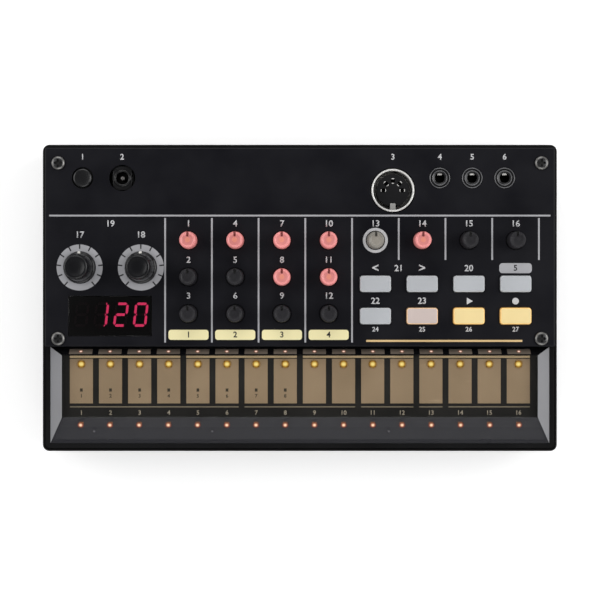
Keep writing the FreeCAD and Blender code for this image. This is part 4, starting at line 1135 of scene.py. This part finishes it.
def bloom(name, rim, halo, core, heart):
    """Light that is strongest in the middle of a disc's own map and gone at its rim."""
    material, tree, links = new_material(name)
    tree.remove(tree["Principled BSDF"])
    place = tree.new("ShaderNodeTexCoord")
    offset = tree.new("ShaderNodeVectorMath")
    offset.operation = "SUBTRACT"
    offset.inputs[1].default_value = (0.5, 0.5, 0)
    links.new(place.outputs["UV"], offset.inputs[0])
    reach = tree.new("ShaderNodeVectorMath")
    reach.operation = "LENGTH"
    links.new(offset.outputs["Vector"], reach.inputs[0])
    fall = ranged(material, reach.outputs["Value"], heart, 0.5, 1.0, 0.0, "SMOOTHSTEP")
    hue = tree.new("ShaderNodeValToRGB")
    hue.color_ramp.elements[0].color = rim
    hue.color_ramp.elements[1].color = core
    hue.color_ramp.elements.new(0.55).color = halo
    links.new(fall, hue.inputs["Fac"])
    light = tree.new("ShaderNodeEmission")
    links.new(hue.outputs["Color"], light.inputs["Color"])
    clear = tree.new("ShaderNodeBsdfTransparent")
    links.new(fall, mix_through(material, clear.outputs["BSDF"], light.outputs["Emission"]))
    return material


def lamp_discs(name, y, z, radius, lean, material, spots=pad_x):
    """A row of bloom discs, one over each lamp, leaned to the face that they lie on."""
    row = merge([disc(x, y, z, radius, 32, (lean, 0, 0)) for x in spots], name)
    thicken(row, top_film)
    finish_piece(row, material, "warm_lamp", "case")


lift = 0.03 * mm
pad_lamp_y = lamps_high.y - 0.5 * mm
pad_bloom = bloom("pad_bloom", tone(130, 96, 40), tone(190, 140, 44), tone(255, 232, 140), 0.03)
lamp_discs("pad_lamp_bloom", pad_lamp_y, lamps_high.z + lift, 2.0 * mm, 0.0, pad_bloom)

# Touch strip's cover. One clear smoke moulding with a flat top and four bevels drops into
# the frame's pocket; its bevels carry painted reflections: pale grey on the end bevels, slate
# grey on the front one and dark on the rear one.
cover_low, cover_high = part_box("touch_cover")
slope_rise = 4.3 * mm
lip_z = plate_z - slope_rise
run_side = 4.9 * mm
run_rear = 3.0 * mm
run_front = 9.9 * mm
cover_wall = 1.5 * mm
see_through = 0.45
cover_smoke = smoke("cover_smoke", tone(250, 249, 247), 0.05)


def painted_bevel_reflection(name, colour, roughness, shade, specular=0.5):
    """An even, glossy surface that carries the painted reflection of one of the cover's bevels."""
    return surface(
        name, colour, roughness, grain=3000, relief=0.006, spread=0.02, shade=shade, specular=specular
    )


bevel_pale_reflection = painted_bevel_reflection("bevel_pale_reflection", tone(138, 138, 141), 0.35, 0.03)
bevel_slate_reflection = painted_bevel_reflection("bevel_slate_reflection", tone(50, 50, 56), 0.35, 0.05, specular=0.2)
bevel_dark_reflection = painted_bevel_reflection("bevel_dark_reflection", tone(20, 20, 23), 0.3, 0.05, specular=0.2)
for material in (bevel_slate_reflection, bevel_dark_reflection):
    clear = material.node_tree.nodes.new("ShaderNodeBsdfTransparent")
    share = mix_through(material, shader_of(material).outputs["BSDF"], clear.outputs["BSDF"])
    share.default_value = see_through
cover = brick(cover_low, (cover_high.x, cover_high.y, lip_z), "touch_strip_cover")
pick(cover, "FACE", lambda face: face.normal.z > 0.9)
draw_up(slope_rise)
close_edit()
for point in cover.data.vertices:
    if point.co.z > plate_z - 0.01 * mm:
        point.co.x -= math.copysign(run_side, point.co.x)
        point.co.y += run_front if point.co.y < cover_low.y + 1 * mm else -run_rear
pick(cover, "FACE", lambda face: face.normal.z < -0.9)
bpy.ops.mesh.delete(type="FACE")
close_edit()
thicken(cover, cover_wall, offset=-1.0, even=True)
bevels = (bevel_pale_reflection, bevel_slate_reflection, bevel_dark_reflection)
finish_piece(cover, cover_smoke, "smoke_clear", "case", "touch_cover", others=bevels)
# Painted reflections by face: pale on the end bevels, slate on the front, dark on the rear.
for face in cover.data.polygons:
    if 0.3 < face.normal.z < 0.97 and face.center.z > lip_z:
        if abs(face.normal.x) > 0.3:
            face.material_index = 1
        else:
            face.material_index = 2 if face.normal.y < 0 else 3

# Lights in the bevels. Seen from above, the slopes of the clear cover repeat the lamps and,
# along the rear, the ends of the pads, so thin films on the slopes carry those images as painted reflections.
front_lean = math.atan2(slope_rise, run_front)
front_bloom = bloom("front_bloom", tone(96, 48, 40), tone(170, 84, 60), tone(255, 226, 190), 0.06)
front_spot = 7.0 * mm
front_spot_y = cover_low.y + front_spot
front_spot_z = lip_z + front_spot * slope_rise / run_front
lamp_discs("front_lamp_bloom", front_spot_y, front_spot_z + lift, 1.45 * mm, front_lean, front_bloom)
glint = bloom("glint", tone(60, 60, 64), tone(72, 72, 76), tone(98, 96, 98), 0.1)
glint_spot = 4.6 * mm
glint_y = cover_low.y + glint_spot
glint_z = lip_z + glint_spot * slope_rise / run_front
glint_x = [pad_x[0] + 0.45 * pad_pitch, pad_x[4] + 0.5 * pad_pitch, pad_x[11] - 0.45 * pad_pitch]
lamp_discs("cover_glints", glint_y, glint_z + lift, 0.8 * mm, front_lean, glint, glint_x)
rear_lean = -math.atan2(slope_rise, run_rear)
rear_spot = 1.62 * mm
rear_spot_y = cover_high.y - rear_spot
rear_spot_z = lip_z + rear_spot * slope_rise / run_rear
image_length = 3.1 * mm
image_film = 0.02 * mm
rear_image = surface("rear_image", tone(108, 98, 88), 0.35, grain=1500, relief=0.01, spread=0.02, shade=0.2)
images = []
for x in pad_x:
    image = patch(0, 0, 2 * pad_half, image_length, 0)
    image.rotation_euler = (rear_lean, 0, 0)
    image.location = (x, rear_spot_y, rear_spot_z)
    images.append(settle(image))
rear_film = merge(images, "pad_images")
thicken(rear_film, image_film)
finish_piece(rear_film, rear_image, "smoke_clear", "case")
rear_bloom = bloom("rear_bloom", tone(120, 90, 76), tone(160, 112, 92), tone(250, 216, 196), 0.06)
lamp_discs("rear_lamp_bloom", rear_spot_y + lift, rear_spot_z + lift, 1.05 * mm, rear_lean, rear_bloom)

# Studio. A pale floor that stays white to the camera and keeps the machine's shadow, a sky
# that is dim overhead, and soft lamps at both sides, at a level that leaves colours plain.
bpy.ops.mesh.primitive_plane_add(size=6, location=(0, 0, 0))
floor = bpy.context.object
floor.name = "studio_floor"
floor_paint, floor_tree, floor_links = new_material("floor_paint")
floor_shader = shader_of(floor_paint)
floor_shader.inputs["Base Color"].default_value = (0.8, 0.8, 0.8, 1)
floor_shader.inputs["Roughness"].default_value = 0.9
floor_shader.inputs["Specular IOR Level"].default_value = 0.0
floor_shader.inputs["Emission Color"].default_value = (1, 1, 1, 1)
rays = floor_tree.new("ShaderNodeLightPath")
glow = floor_tree.new("ShaderNodeMath")
glow.operation = "MULTIPLY"
glow.inputs[1].default_value = 0.45
floor_links.new(rays.outputs["Is Camera Ray"], glow.inputs[0])
floor_links.new(glow.outputs["Value"], floor_shader.inputs["Emission Strength"])
floor.data.materials.append(floor_paint)

sky = bpy.data.worlds.new("studio_sky")
bpy.context.scene.world = sky
sky.use_nodes = True
sky_nodes, sky_links = sky.node_tree.nodes, sky.node_tree.links
background = sky_nodes["Background"]
background.inputs["Color"].default_value = (1, 1, 1, 1)
direction = sky_nodes.new("ShaderNodeTexCoord")
height = sky_nodes.new("ShaderNodeSeparateXYZ")
sky_links.new(direction.outputs["Generated"], height.inputs["Vector"])
side_light, top_light = 0.8, 0.1
sky_light = ranged(sky, height.outputs["Z"], 0.0, 1.0, side_light, top_light)
sky_links.new(sky_light, background.inputs["Strength"])

lamp_plan = [
    ("right_lamp", (0.85, 0.1, 0.75), 0.7, 5.4),
    ("left_lamp", (-0.85, 0.2, 0.75), 0.7, 3.6),
    ("front_lamp", (0.1, -1.0, 0.8), 0.8, 3.6),
    ("rear_lamp", (-0.1, 1.0, 0.8), 0.8, 3.6),
]
for name, spot, size, power in lamp_plan:
    data = bpy.data.lights.new(name, "AREA")
    data.energy = power
    data.size = size
    lamp = bpy.data.objects.new(name, data)
    lamp.location = spot
    lamp.rotation_euler = (-Vector(spot)).to_track_quat("-Z", "Y").to_euler()
    bpy.context.scene.collection.objects.link(lamp)

view = bpy.data.cameras.new("camera")
view.lens = 96.8
view.sensor_width = 36.0
camera = bpy.data.objects.new("camera", view)
camera_height = 633 * mm
camera.location = (0.056 * mm, -0.79 * mm, camera_height)
bpy.context.scene.collection.objects.link(camera)
bpy.context.scene.camera = camera
bpy.context.scene.view_settings.view_transform = "Standard"
